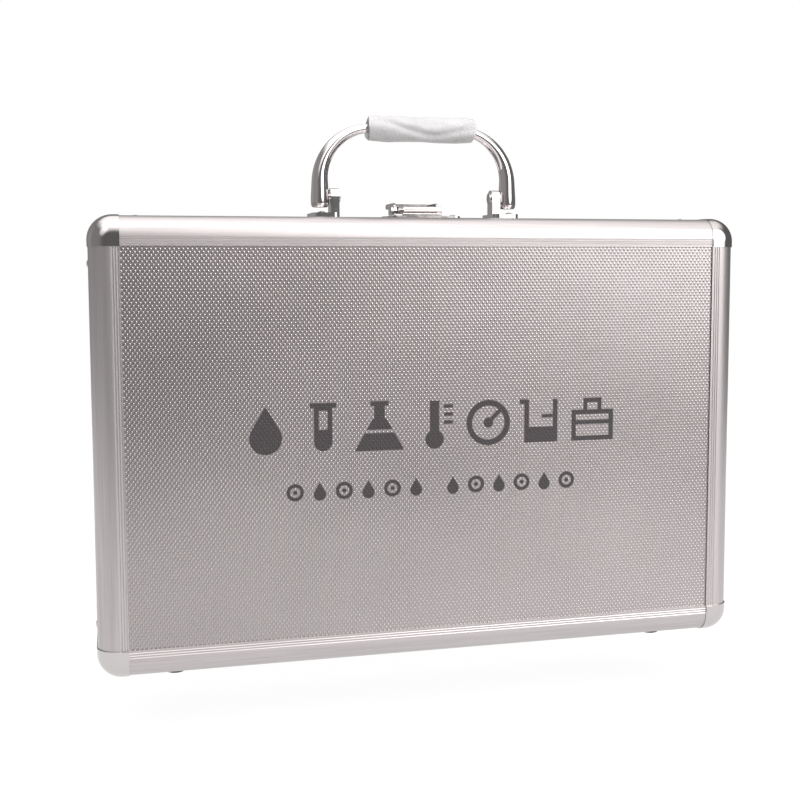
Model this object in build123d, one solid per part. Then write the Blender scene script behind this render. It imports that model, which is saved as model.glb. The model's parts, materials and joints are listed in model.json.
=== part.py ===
from build123d import *
import os
from math import cos, radians, sin

# Water test kit: a slim aluminium carry case that holds a meter, reagent bottles and a colour comparator.
#
# Frame: millimetres, +Z up, +X to the right, -Y towards the lid. The case stands on its hinge side.
# The origin is at the middle of the footprint, on the surface that the feet stand on.
# Each half of the case is four extruded rails, four corner caps, a textured panel on a board, and a lining.

# ---- Driving dimensions: the case -------------------------------------------------------------
CASE_WIDTH = 330.0
CASE_HEIGHT = 220.0
LID_DEPTH = 30.0
BASE_DEPTH = 46.0
FOOT_HEIGHT = 4.0
EDGE_RADIUS = 10.0         # quarter round along every outer edge of the two faces
FLAT_BAND = 4.5            # fluted flat between the quarter round and the panel
RAIL_WALL = 1.2
FLUTES_FROM_ROUND = 0.5
CORNER_RADIUS = 12.0       # corner of the case seen from the front
CORNER_PROUD = 0.4         # how far a corner cap stands out of the rails
CORNER_TONGUE = 16.0       # how far a corner cap reaches into each rail
TONGUE_WALL = 1.5
CORNER_BOSS = 3.3          # side of the raised square at each cap's inner corner
CORNER_BOSS_PROUD = 0.3
CORNER_BOSS_INSET = 0.25
FLUTE_COUNT = 3
FLUTE_PITCH = 1.2
FLUTE_DEPTH = 0.2
PARTING_GAP = 0.3
LIP_REACH = 2.5            # the base's inner lip reaches this far into the lid
LIP_ROOT = 5.0             # and is joined to the base's wall over this depth
FIT = 0.2                  # gap between pieces that slide or drop into each other
OVERCUT = 1.0              # how far a cutting solid reaches past the surface it opens
BURIED = 0.5               # how far a joined solid reaches into its neighbour

# ---- Panels, boards, linings and foam ---------------------------------------------------------
PANEL_RECESS = 0.8         # the panel lies this far behind the rail's flat band
PANEL_SKIN = 0.6
PANEL_BOARD = 3.0
LINING_WALL = 2.4
LINING_SETBACK = 1.0
LID_FOAM = 18.0
TRAY_SETBACK = 2.0         # the foam tray's face lies this far behind the parting plane
TRAY_FLOOR = 5.0

# ---- Rivets, feet and hinges ------------------------------------------------------------------
RIVET_FROM_RAIL_END = 8.0
RIVET_RADIUS = 2.2
RIVET_SHANK = 1.3
RIVET_DOME = 0.8
LID_RIVET_DEPTH = 22.0
BASE_RIVET_DEPTH = 22.0
FOOT_RADIUS = 5.5
FOOT_EDGE = 1.6
FOOT_FROM_SIDE = 37.0
LID_FOOT_DEPTH = 22.0      # from the lid's face to the foot's axis
BASE_FOOT_DEPTH = 16.0     # from the base's face to the foot's axis
HINGE_FROM_SIDE = 73.0
HINGE_WIDTH = 36.0
HINGE_RIVET_PITCH = 21.2
HINGE_LEAF = 12.0
HINGE_LEAF_WALL = 1.0
HINGE_LEAF_CORNER = 2.0
HINGE_LEAF_SETBACK = 0.3   # from the knuckle to the leaf's straight edge
HINGE_KNUCKLE_RADIUS = 1.9
HINGE_PIN_RADIUS = 1.0
RUNNING_CLEARANCE = 0.06

# ---- Handle -----------------------------------------------------------------------------------
HANDLE_BEHIND_PARTING = 8.0
HANDLE_ARM_X = 50.2        # middle of each arm at its pivot
HANDLE_RISE = 34.9         # from the pivot to the middle of the bar
HANDLE_BEND = 27.0
ARM_FOOT_WIDTH = 9.3       # across the arm at its pivot
ARM_FOOT_DEPTH = 7.4       # front to back at its pivot
ARM_TIP_WIDTH = 4.4        # where the arm meets the grip
ARM_STATIONS = 4           # sections along the bend
PIVOT_HEIGHT = 11.5        # above the top of the case
PIVOT_BOSS_RADIUS = 5.4
PIVOT_PIN_RADIUS = 1.7
PIVOT_PIN_HEAD = 0.9
PIVOT_HEAD_RADIUS = 2.8
PIVOT_BLIND = 1.4          # metal left outside the end of the arm's blind bore
LUG_WALL = 4.4
LUG_RADIUS = 4.2
LUG_GAP = 0.35
HANDLE_BASE_LENGTH = 22.0
HANDLE_BASE_FROM_PARTING = 1.0
HANDLE_BASE_THICK = 3.2
HANDLE_RIVET_INSET = 3.4   # from the foot plate's end to its rivet
PLATE_CORNER = 3.0         # corner radius of the handle's and the latch's plates
GRIP_LENGTH = 46.0
GRIP_RADIUS = 5.4
WRAP_LENGTH = 56.0
WRAP_RADIUS = 6.9
WRAP_OFFSET = 3.0          # the wrap sits a little to the right of the grip's middle

# ---- Latch ------------------------------------------------------------------------------------
LATCH_PLATE_MARGIN = 6.5   # from the lever's side to the plate's end
LATCH_RIVET_INSET = 2.9    # from the plate's end to its rivet
LATCH_PLATE_WALL = 1.2
KEEPER_LENGTH = 13.0
LATCH_BASE_LENGTH = 22.0
LATCH_FROM_PARTING = 1.0
KEEPER_LIP_TOP = 3.1       # above the top of the case
KEEPER_LIP_WALL = 1.4
KEEPER_LIP_BACK = 4.6      # from the parting plane to the lip's rear face
LEVER_WIDTH = 24.0
LEVER_WALL = 1.2
LEVER_TOP = 8.6
LEVER_PIVOT_BACK = 7.0     # behind the parting plane
LEVER_PIVOT_UP = 4.4
LEVER_PIN_RADIUS = 1.1
CLAW_PIVOT_BACK = 14.0
CLAW_PIVOT_UP = 5.4
CLAW_PIN_RADIUS = 0.9
CLAW_WALL = 1.1
CLAW_FROM_LEVER_SIDE = 2.0
CLAW_OVER_LIP = 0.35
CLAW_NOSE_RADIUS = 1.3
CLAW_OVER_PIN = 0.25
LEVER_LIP_RADIUS = 1.3
EAR_WALL = 1.2
EAR_RADIUS = 2.4
CHEEK_BELOW_PIN = 1.5

# ---- Contents ---------------------------------------------------------------------------------
METER_LENGTH = 118.0
METER_WIDTH = 28.0
METER_THICK = 18.0
METER_CAP_LENGTH = 34.0
METER_CAP_WALL = 1.4
METER_FROM_SIDE = 38.0     # from the case's side to the end of the meter's cap
METER_FROM_TOP = 36.0
METER_EDGE = 6.0
METER_CAP_TRAVEL = 22.0
DISPLAY_WIDTH = 30.0
DISPLAY_HEIGHT = 16.0
DISPLAY_WALL = 1.2
DISPLAY_FROM_END = 58.0    # from the cap's end of the body to the middle of the display
BUTTON_FROM_DISPLAY = 28.0
BUTTON_PROUD = 0.9
METER_BUTTON_BORE = 5.0
METER_BUTTON_RADIUS = 3.6
METER_BUTTON_TRAVEL = 0.8
BOTTLE_RADIUS = 13.5
BOTTLE_HEIGHT = 62.0
BOTTLE_NECK_RADIUS = 6.5
BOTTLE_NECK = 11.0
BOTTLE_CAP_RADIUS = 9.0
BOTTLE_CAP_HEIGHT = 24.0
BOTTLE_PITCH = 42.0
BOTTLE_FROM_SIDE = 43.0
BOTTLE_FROM_BOTTOM = 26.0
BOTTLE_HEADROOM = 3.0
BOTTLE_TIP = 7.0           # the dropper tip stands this far above the neck
BOTTLE_TIP_RADIUS = 1.6
BOTTLE_TIP_ROOT = 3.2
BOTTLE_COUNT = 3
COMPARATOR_WIDTH = 78.0
COMPARATOR_HEIGHT = 66.0
COMPARATOR_THICK = 22.0
COMPARATOR_FROM_SIDE = 77.0
COMPARATOR_FROM_TOP = 92.0
COMPARATOR_CORNER = 3.0
CELL_WIDTH = 14.0
CELL_DEPTH = 52.0
CELL_OFFSET = 30.0
CELL_CAP_HEIGHT = 7.0
CELL_PLUG = 6.0
CELL_PLUG_FIT = 0.15
CELL_FLANGE = 2.0          # how far a cell's cap reaches past the cell
CELL_CAP_TRAVEL = 10.0
SCALE_WIDTH = 30.0
SCALE_HEIGHT = 52.0
SCALE_WALL = 1.0
CARD_WIDTH = 124.0
CARD_HEIGHT = 27.0
CARD_THICK = 1.6
CARD_FROM_SIDE = 87.0
CARD_FROM_TOP = 81.0
CARD_CORNER = 2.0
CARD_RECESS = 4.0
ITEM_CLEARANCE = 1.0       # foam to item, all round
FINGER_NOTCH_WIDTH = 22.0
FINGER_NOTCH_DEPTH = 18.0
SPARE_POCKET_WIDTH = 96.0
SPARE_POCKET_HEIGHT = 62.0
SPARE_POCKET_DEPTH = 30.0
SPARE_POCKET_SHIFT = 8.0   # to the right of the comparator
SPARE_POCKET_DROP = 4.0    # below the bottles' feet
ITEM_SETBACK = 3.0         # the contents lie this far behind the tray's face

# ---- Derived places ---------------------------------------------------------------------------
BAND = EDGE_RADIUS + FLAT_BAND
PANEL_SLOT = FLAT_BAND - RAIL_WALL      # how far the panel reaches under the band
FACE_Y = -(LID_DEPTH + BASE_DEPTH) / 2
REAR_Y = -FACE_Y
PARTING_Y = FACE_Y + LID_DEPTH
BOTTOM_Z = FOOT_HEIGHT
TOP_Z = BOTTOM_Z + CASE_HEIGHT
MIDDLE_Z = (BOTTOM_Z + TOP_Z) / 2
PANEL_HALF_X = CASE_WIDTH / 2 - BAND
PANEL_HALF_Z = CASE_HEIGHT / 2 - BAND
PANEL_BACK = PANEL_RECESS + PANEL_SKIN + PANEL_BOARD
FOOT_X = CASE_WIDTH / 2 - FOOT_FROM_SIDE
HINGE_X = CASE_WIDTH / 2 - HINGE_FROM_SIDE
HINGE_Z = BOTTOM_Z - HINGE_KNUCKLE_RADIUS
HANDLE_Y = PARTING_Y + HANDLE_BEHIND_PARTING
PIVOT_Z = TOP_Z + PIVOT_HEIGHT
BAR_Z = PIVOT_Z + HANDLE_RISE
LINING_OUTER = RAIL_WALL + TONGUE_WALL + FIT
LINING_INNER = LINING_OUTER + LINING_WALL
TRAY_FACE_Y = PARTING_Y + TRAY_SETBACK
TRAY_BACK_Y = REAR_Y - PANEL_BACK - RAIL_WALL - FIT
METER_X = METER_FROM_SIDE - CASE_WIDTH / 2
METER_Y = TRAY_FACE_Y + METER_THICK / 2 + ITEM_SETBACK
METER_Z = TOP_Z - METER_FROM_TOP
METER_FRONT_Y = METER_Y - METER_THICK / 2
METER_BODY_X = METER_X + METER_CAP_LENGTH - METER_CAP_WALL
DISPLAY_X = METER_BODY_X + DISPLAY_FROM_END
BUTTON_X = DISPLAY_X + BUTTON_FROM_DISPLAY
BOTTLE_FIRST_X = BOTTLE_FROM_SIDE - CASE_WIDTH / 2
BOTTLE_Y = TRAY_FACE_Y + BOTTLE_RADIUS + ITEM_SETBACK
BOTTLE_BASE_Z = BOTTOM_Z + BOTTLE_FROM_BOTTOM
COMPARATOR_X = CASE_WIDTH / 2 - COMPARATOR_FROM_SIDE
COMPARATOR_Y = TRAY_FACE_Y + COMPARATOR_THICK / 2 + ITEM_SETBACK
COMPARATOR_Z = TOP_Z - COMPARATOR_FROM_TOP
CARD_X = CARD_FROM_SIDE - CASE_WIDTH / 2
CARD_Z = TOP_Z - CARD_FROM_TOP
LATCH_PLATE_WIDTH = LEVER_WIDTH + 2 * LATCH_PLATE_MARGIN
CLAW_WIDTH = LEVER_WIDTH - 2 * CLAW_FROM_LEVER_SIDE
LEVER_PIVOT = (PARTING_Y + LEVER_PIVOT_BACK, TOP_Z + LEVER_PIVOT_UP)
CLAW_PIVOT = (PARTING_Y + CLAW_PIVOT_BACK, TOP_Z + CLAW_PIVOT_UP)

LID = {"depth": LID_DEPTH, "face": FACE_Y, "inward": 1, "rivet": LID_RIVET_DEPTH}
BASE = {"depth": BASE_DEPTH, "face": REAR_Y, "inward": -1, "rivet": BASE_RIVET_DEPTH}


# ---- Small builders ---------------------------------------------------------------------------
def block(x0, x1, y0, y1, z0, z1):
    """A box between two corners."""
    return Pos((x0 + x1) / 2, (y0 + y1) / 2, (z0 + z1) / 2) * Box(abs(x1 - x0), abs(y1 - y0), abs(z1 - z0))


def half_block(half, x0, x1, depth0, depth1, z0, z1):
    """A box in one half of the case, its Y given as depths from that half's face."""
    y0, y1 = (half["face"] + half["inward"] * depth for depth in (depth0, depth1))
    return block(x0, x1, y0, y1, z0, z1)


def rod(radius, length, centre, axis):
    """A cylinder centred on a point, along an axis."""
    return Plane(origin=centre, z_dir=axis) * Cylinder(radius, length)


def wall_end(half):
    """Depth at which a half's walls end, leaving the parting gap."""
    return half["depth"] - PARTING_GAP / 2


# ---- The case's frame -------------------------------------------------------------------------
def rail_profile(half):
    """The rail's section: x is the distance in from the outer wall, y is the depth from the face."""
    r, w, slot = EDGE_RADIUS, RAIL_WALL, BAND - PANEL_SLOT
    end = wall_end(half)
    flute_start = r + FLUTES_FROM_ROUND
    with BuildSketch() as sketch:
        with BuildLine():
            Polyline((w, end), (0, end), (0, r))
            ThreePointArc((0, r), (r - r * cos(radians(45)), r - r * sin(radians(45))), (r, 0))
            top = [(r, 0), (flute_start, 0)]
            for flute in range(FLUTE_COUNT):
                left = flute_start + flute * FLUTE_PITCH
                top += [(left + FLUTE_PITCH * 0.3, FLUTE_DEPTH), (left + FLUTE_PITCH * 0.7, FLUTE_DEPTH)]
                top += [(left + FLUTE_PITCH * 0.85, 0), (left + FLUTE_PITCH, 0)]
            Polyline(*top, (BAND, 0), (BAND, PANEL_RECESS), (slot, PANEL_RECESS), (slot, PANEL_BACK),
                     (BAND, PANEL_BACK), (BAND, PANEL_BACK + w), (r, PANEL_BACK + w), (r, w))
            ThreePointArc((r, w), (r - (r - w) * cos(radians(45)), r - (r - w) * sin(radians(45))), (w, r))
            Line((w, r), (w, end))
        make_face()
        if half is BASE:
            root = end - LIP_ROOT
            with Locations((w + FIT / 2, root + w)):
                Rectangle(FIT, 2 * w)
            with Locations((w + FIT + w / 2, (root + end + LIP_REACH) / 2)):
                Rectangle(w, LIP_ROOT + LIP_REACH)
    return sketch.sketch


def rail(half, side):
    """One straight rail along the top, bottom, left or right of a half."""
    profile = rail_profile(half)
    along_x = side in ("top", "bottom")
    length = 2 * (PANEL_HALF_X if along_x else PANEL_HALF_Z)
    inward = {"top": (0, 0, -1), "bottom": (0, 0, 1), "left": (1, 0, 0), "right": (-1, 0, 0)}[side]
    across = Vector(*inward)
    span = CASE_HEIGHT if along_x else CASE_WIDTH
    edge = Vector(0, half["face"], MIDDLE_Z) - across * span / 2
    depth = Vector(0, half["inward"], 0)
    plane = Plane(origin=edge, x_dir=across, z_dir=across.cross(depth))
    return extrude(plane * profile, length / 2, both=True)


def corner_cap(half, x_sign, z_sign):
    """A pressed corner cap: rounded shell over the corner, with tongues that slide into two rails."""
    end = wall_end(half)
    size = BAND + CORNER_PROUD
    with BuildPart() as shell:
        with BuildSketch(Plane.XZ):
            with BuildLine():
                Polyline((0, 0), (0, size), (size - CORNER_RADIUS, size))
                ThreePointArc((size - CORNER_RADIUS, size),
                              (size - CORNER_RADIUS + CORNER_RADIUS * cos(radians(45)),
                               size - CORNER_RADIUS + CORNER_RADIUS * sin(radians(45))),
                              (size, size - CORNER_RADIUS))
                Polyline((size, size - CORNER_RADIUS), (size, 0), (0, 0))
            make_face()
        extrude(amount=-end - CORNER_PROUD)
        front = shell.edges().filter_by_position(Axis.Y, -0.01, 0.01)
        outer = [e for e in front if (e.center().X > 0.1 and e.center().Z > 0.1)]
        fillet(outer, EDGE_RADIUS)
    wall = RAIL_WALL + CORNER_PROUD
    inner_radius = CORNER_RADIUS - wall
    inner_size = size - wall
    with BuildPart() as hollow:
        with BuildSketch(Plane.XZ.offset(-wall)):
            with BuildLine():
                Polyline((-OVERCUT, -OVERCUT), (-OVERCUT, inner_size),
                         (inner_size - inner_radius, inner_size))
                ThreePointArc((inner_size - inner_radius, inner_size),
                              (inner_size - inner_radius + inner_radius * cos(radians(45)),
                               inner_size - inner_radius + inner_radius * sin(radians(45))),
                              (inner_size, inner_size - inner_radius))
                Polyline((inner_size, inner_size - inner_radius), (inner_size, -OVERCUT),
                         (-OVERCUT, -OVERCUT))
            make_face()
        extrude(amount=-end - CORNER_PROUD)
        front = [e for e in hollow.edges().filter_by_position(Axis.Y, wall - 0.01, wall + 0.01)
                 if e.center().X > 0 and e.center().Z > 0]
        fillet(front, EDGE_RADIUS - wall)
    cap = shell.part - hollow.part
    tongue_out = size - wall - FIT
    tongue_in = tongue_out - TONGUE_WALL
    depth0 = EDGE_RADIUS + 2 * FIT
    depth1 = end - (LIP_ROOT if half is BASE else LIP_REACH) - FIT
    reach = CORNER_TONGUE
    bridge = tongue_out + 1.5 * FIT
    cap += block(-reach, size - CORNER_RADIUS, depth0, depth1, tongue_in, tongue_out)
    cap += block(tongue_in, tongue_out, depth0, depth1, -reach, size - CORNER_RADIUS)
    cap += block(2 * FIT, size - CORNER_RADIUS, depth0, depth1, tongue_in, bridge)
    cap += block(tongue_in, bridge, depth0, depth1, 2 * FIT, size - CORNER_RADIUS)
    boss_end = CORNER_BOSS_INSET + CORNER_BOSS
    cap += block(CORNER_BOSS_INSET, boss_end, -CORNER_BOSS_PROUD, wall / 2, CORNER_BOSS_INSET, boss_end)
    cap = Pos(0, -CORNER_PROUD, 0) * cap
    # built for the front upper right corner with depth along +Y; mirrored into the other seven places
    if x_sign < 0:
        cap = mirror(cap, Plane.YZ)
    if z_sign < 0:
        cap = mirror(cap, Plane.XY)
    if half is BASE:
        cap = mirror(cap, Plane.XZ)
    return Pos(x_sign * PANEL_HALF_X, half["face"], MIDDLE_Z + z_sign * PANEL_HALF_Z) * cap


def panel_outline(half, depth0, depth1, margin):
    """A sheet that fills the frame's slots and stays out of the corner caps."""
    wide = PANEL_HALF_X + PANEL_SLOT - margin
    tall = PANEL_HALF_Z + PANEL_SLOT - margin
    narrow_x, narrow_z = PANEL_HALF_X - FIT, PANEL_HALF_Z - FIT
    sheet = half_block(half, -wide, wide, depth0, depth1, MIDDLE_Z - narrow_z, MIDDLE_Z + narrow_z)
    return sheet + half_block(half, -narrow_x, narrow_x, depth0, depth1, MIDDLE_Z - tall, MIDDLE_Z + tall)


def lining(half):
    """The four boards that line the inside of a half, clear of the corner caps."""
    outer_x, outer_z = CASE_WIDTH / 2 - LINING_OUTER, CASE_HEIGHT / 2 - LINING_OUTER
    inner_x, inner_z = CASE_WIDTH / 2 - LINING_INNER, CASE_HEIGHT / 2 - LINING_INNER
    start = PANEL_BACK + RAIL_WALL + FIT
    stop = half["depth"] - LIP_REACH - LINING_SETBACK
    frame = half_block(half, -outer_x, outer_x, start, stop, MIDDLE_Z - outer_z, MIDDLE_Z + outer_z)
    frame -= half_block(half, -inner_x, inner_x, 0, half["depth"], MIDDLE_Z - inner_z, MIDDLE_Z + inner_z)
    notch = CORNER_RADIUS / 3
    for x_sign in (-1, 1):
        for z_sign in (-1, 1):
            frame -= block(x_sign * (outer_x - notch), x_sign * (outer_x + OVERCUT), FACE_Y, REAR_Y,
                           MIDDLE_Z + z_sign * (outer_z - notch), MIDDLE_Z + z_sign * (outer_z + OVERCUT))
    return frame


# ---- Fasteners and feet -----------------------------------------------------------------------
def rivet(point, outward, grip):
    """A domed rivet whose head sits on a surface at point; its shank runs grip deep."""
    axis = Vector(*outward)
    base = Plane(origin=point, z_dir=axis)
    radius = (RIVET_RADIUS ** 2 + RIVET_DOME ** 2) / (2 * RIVET_DOME)
    dome = Pos(0, 0, RIVET_DOME - radius) * Sphere(radius)
    dome &= Pos(0, 0, RIVET_DOME / 2) * Cylinder(RIVET_RADIUS * 1.01, RIVET_DOME)
    return base * (dome + Pos(0, 0, -grip / 2) * Cylinder(RIVET_SHANK, grip))


def corner_rivet_places(half):
    """Point and outward direction of each rivet that holds the corner caps."""
    y = half["face"] + half["inward"] * half["rivet"]
    places = []
    for x_sign in (-1, 1):
        for z_sign in (-1, 1):
            x = x_sign * (PANEL_HALF_X - RIVET_FROM_RAIL_END)
            z = MIDDLE_Z + z_sign * (PANEL_HALF_Z - RIVET_FROM_RAIL_END)
            places.append(((x, y, MIDDLE_Z + z_sign * CASE_HEIGHT / 2), (0, 0, z_sign)))
            places.append(((x_sign * CASE_WIDTH / 2, y, z), (x_sign, 0, 0)))
    return places


def hinge_rivet_places(half):
    """Rivets through a hinge leaf, on the underside of a half."""
    away = -half["inward"]
    y = PARTING_Y + away * (HINGE_LEAF + HINGE_KNUCKLE_RADIUS + 2 * HINGE_LEAF_SETBACK) / 2
    return [((side * HINGE_X + step * HINGE_RIVET_PITCH / 2, y, BOTTOM_Z - HINGE_LEAF_WALL), (0, 0, -1))
            for side in (-1, 1) for step in (-1, 1)]


def latch_rivet_places(half):
    """Rivets through the keeper or the latch's base plate."""
    length = KEEPER_LENGTH if half is LID else LATCH_BASE_LENGTH
    away = -half["inward"]
    y = PARTING_Y + away * (LATCH_FROM_PARTING + length / 2)
    x = LATCH_PLATE_WIDTH / 2 - LATCH_RIVET_INSET
    return [((side * x, y, TOP_Z + LATCH_PLATE_WALL), (0, 0, 1)) for side in (-1, 1)]


def handle_rivet_places():
    """Two rivets through each of the handle's foot plates."""
    x = (lug_inner() + LUG_WALL + arm_outer()) / 2
    front, rear = handle_base_span()
    return [((side * x, y, TOP_Z + HANDLE_BASE_THICK), (0, 0, 1))
            for side in (-1, 1) for y in (front + HANDLE_RIVET_INSET, rear - HANDLE_RIVET_INSET)]


def all_rivets(half):
    """Every rivet of one half, as separate solids."""
    wall = RAIL_WALL
    rivets = [rivet(p, d, wall + FIT + TONGUE_WALL) for p, d in corner_rivet_places(half)]
    rivets += [rivet(p, d, wall + HINGE_LEAF_WALL) for p, d in hinge_rivet_places(half)]
    rivets += [rivet(p, d, wall + LATCH_PLATE_WALL) for p, d in latch_rivet_places(half)]
    if half is BASE:
        rivets += [rivet(p, d, wall + HANDLE_BASE_THICK) for p, d in handle_rivet_places()]
    return rivets


def drilled(solid, places, depth):
    """Cuts the rivets' holes through a piece."""
    for point, direction in places:
        inward = Vector(*direction) * -1
        centre = Vector(*point) + inward * depth / 2
        solid -= rod(RIVET_SHANK, depth, centre, inward)
    return solid


def feet(half):
    """Two domed feet under one half."""
    depth = LID_FOOT_DEPTH if half is LID else BASE_FOOT_DEPTH
    y = half["face"] + half["inward"] * depth
    made = []
    for side in (-1, 1):
        foot = Pos(side * FOOT_X, y, FOOT_HEIGHT / 2) * Cylinder(FOOT_RADIUS, FOOT_HEIGHT)
        low = foot.edges().group_by(Axis.Z)[0]
        made.append(fillet(low, FOOT_EDGE))
    return made


# ---- Hinges -----------------------------------------------------------------------------------
def knuckle_spans(half):
    """Where a leaf's knuckles lie along X: the base has the outer two, the lid the middle one."""
    third = HINGE_WIDTH / 3
    if half is LID:
        return [(-third / 2 + FIT / 2, third / 2 - FIT / 2)]
    return [(-HINGE_WIDTH / 2, -third / 2 - FIT / 2), (third / 2 + FIT / 2, HINGE_WIDTH / 2)]


def hinge_leaf(half, side):
    """One leaf with its knuckles, on the underside of the case."""
    away = -half["inward"]
    middle = side * HINGE_X
    clear = HINGE_KNUCKLE_RADIUS + HINGE_LEAF_SETBACK
    leaf = block(middle - HINGE_WIDTH / 2, middle + HINGE_WIDTH / 2, PARTING_Y + away * clear,
                 PARTING_Y + away * HINGE_LEAF, BOTTOM_Z - HINGE_LEAF_WALL, BOTTOM_Z)
    leaf = fillet(leaf.edges().filter_by(Axis.Z).group_by(Axis.Y)[0 if away < 0 else -1], HINGE_LEAF_CORNER)
    for x0, x1 in knuckle_spans(half):
        leaf += block(middle + x0, middle + x1, PARTING_Y, PARTING_Y + away * (clear + BURIED),
                      BOTTOM_Z - HINGE_LEAF_WALL, BOTTOM_Z)
        leaf += rod(HINGE_KNUCKLE_RADIUS, x1 - x0, (middle + (x0 + x1) / 2, PARTING_Y, HINGE_Z), (1, 0, 0))
    bore = HINGE_PIN_RADIUS + RUNNING_CLEARANCE
    leaf -= rod(bore, HINGE_WIDTH + 2 * OVERCUT, (middle, PARTING_Y, HINGE_Z), (1, 0, 0))
    return drilled(leaf, hinge_rivet_places(half), 2 * HINGE_LEAF_WALL)


def hinge_pin(side):
    """A pin through one hinge's knuckles."""
    return rod(HINGE_PIN_RADIUS, HINGE_WIDTH, (side * HINGE_X, PARTING_Y, HINGE_Z), (1, 0, 0))


# ---- Handle -----------------------------------------------------------------------------------
def handle_base_span():
    """Y of the front and rear ends of the handle's foot plates, all on the base half."""
    front = PARTING_Y + HANDLE_BASE_FROM_PARTING
    return front, front + HANDLE_BASE_LENGTH


def lug_inner():
    """X of a handle lug's inner face."""
    return HANDLE_ARM_X - ARM_FOOT_WIDTH / 2 - LUG_GAP - LUG_WALL


def arm_outer():
    """X of a handle arm's outer face at its pivot."""
    return HANDLE_ARM_X + ARM_FOOT_WIDTH / 2


def handle_foot(side):
    """A foot plate with an upright lug on its inner side, drilled for the pivot pin."""
    x0, x1 = lug_inner(), arm_outer()
    plate = block(x0, x1, *handle_base_span(), TOP_Z, TOP_Z + HANDLE_BASE_THICK)
    plate = fillet(plate.edges().filter_by(Axis.Z), PLATE_CORNER)
    lug = block(x0, x0 + LUG_WALL, HANDLE_Y - LUG_RADIUS, HANDLE_Y + LUG_RADIUS, TOP_Z + BURIED, PIVOT_Z)
    lug += rod(LUG_RADIUS, LUG_WALL, (x0 + LUG_WALL / 2, HANDLE_Y, PIVOT_Z), (1, 0, 0))
    foot = plate + lug
    foot -= rod(PIVOT_PIN_RADIUS, 3 * LUG_WALL, (x0 + LUG_WALL / 2, HANDLE_Y, PIVOT_Z), (1, 0, 0))
    places = [(p, d) for p, d in handle_rivet_places() if p[0] > 0]
    foot = drilled(foot, places, HANDLE_BASE_THICK * 2)
    return foot if side > 0 else mirror(foot, Plane.YZ)


def pivot_pin(side):
    """A headed pin fixed in the lug; the handle's arm turns on it."""
    x0, x1 = lug_inner(), arm_outer() - PIVOT_BLIND - FIT
    pin = rod(PIVOT_PIN_RADIUS, x1 - x0, ((x0 + x1) / 2, HANDLE_Y, PIVOT_Z), (1, 0, 0))
    head_x = x0 - PIVOT_PIN_HEAD / 2
    pin += rod(PIVOT_HEAD_RADIUS, PIVOT_PIN_HEAD, (head_x, HANDLE_Y, PIVOT_Z), (1, 0, 0))
    return pin if side > 0 else mirror(pin, Plane.YZ)


def arm_section(centre, along, share):
    """One elliptical section of an arm; share runs from 0 at the pivot to 1 at the grip."""
    half_width = (ARM_FOOT_WIDTH + (ARM_TIP_WIDTH - ARM_FOOT_WIDTH) * share) / 2
    half_depth = (ARM_FOOT_DEPTH + (ARM_TIP_WIDTH - ARM_FOOT_DEPTH) * share) / 2
    plane = Plane(origin=centre, x_dir=(0, 1, 0), z_dir=along)
    return plane * Ellipse(half_depth, half_width)


def handle_arm():
    """The right arm: straight up from its pivot, then a tapering quarter bend to the bar."""
    bend_x, bend_z = HANDLE_ARM_X - HANDLE_BEND, BAR_Z - HANDLE_BEND
    sections = [arm_section((HANDLE_ARM_X, HANDLE_Y, PIVOT_Z), (0, 0, 1), 0)]
    for station in range(ARM_STATIONS + 1):
        turn = radians(90 * station / ARM_STATIONS)
        centre = (bend_x + HANDLE_BEND * cos(turn), HANDLE_Y, bend_z + HANDLE_BEND * sin(turn))
        share = 0.12 + 0.88 * station / ARM_STATIONS
        sections.append(arm_section(centre, (-sin(turn), 0, cos(turn)), share))
    arm = loft(sections)
    arm += rod(PIVOT_BOSS_RADIUS, ARM_FOOT_WIDTH, (HANDLE_ARM_X, HANDLE_Y, PIVOT_Z), (1, 0, 0))
    bore = ARM_FOOT_WIDTH - PIVOT_BLIND
    x = HANDLE_ARM_X - ARM_FOOT_WIDTH / 2 + bore / 2
    return arm - rod(PIVOT_PIN_RADIUS + RUNNING_CLEARANCE, bore, (x, HANDLE_Y, PIVOT_Z), (1, 0, 0))


def handle_bail():
    """The cast bail: two arms joined by the bar inside the grip."""
    arm = handle_arm()
    bar = rod(ARM_TIP_WIDTH / 2, 2 * (HANDLE_ARM_X - HANDLE_BEND), (0, HANDLE_Y, BAR_Z), (1, 0, 0))
    return arm + bar + mirror(arm, Plane.YZ)


def bar_sleeve(inner_piece, length, radius, offset):
    """A tube round the bail's bar."""
    sleeve = rod(radius, length, (offset, HANDLE_Y, BAR_Z), (1, 0, 0))
    return sleeve - inner_piece


# ---- Latch ------------------------------------------------------------------------------------
def keeper():
    """The lid's plate, with the lip that the claw draws on."""
    rear = PARTING_Y - LATCH_FROM_PARTING
    half_x = LATCH_PLATE_WIDTH / 2
    plate = block(-half_x, half_x, rear - KEEPER_LENGTH, rear, TOP_Z, TOP_Z + LATCH_PLATE_WALL)
    plate = fillet(plate.edges().filter_by(Axis.Z), PLATE_CORNER)
    lip_rear = PARTING_Y - KEEPER_LIP_BACK
    lip = block(-CLAW_WIDTH / 2, CLAW_WIDTH / 2, lip_rear - KEEPER_LIP_WALL, lip_rear,
                TOP_Z + LATCH_PLATE_WALL / 2, TOP_Z + KEEPER_LIP_TOP)
    lip = fillet(lip.edges().filter_by(Axis.X).group_by(Axis.Z)[-1], KEEPER_LIP_WALL * 0.4)
    return drilled(plate + lip, latch_rivet_places(LID), LATCH_PLATE_WALL * 2)


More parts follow.
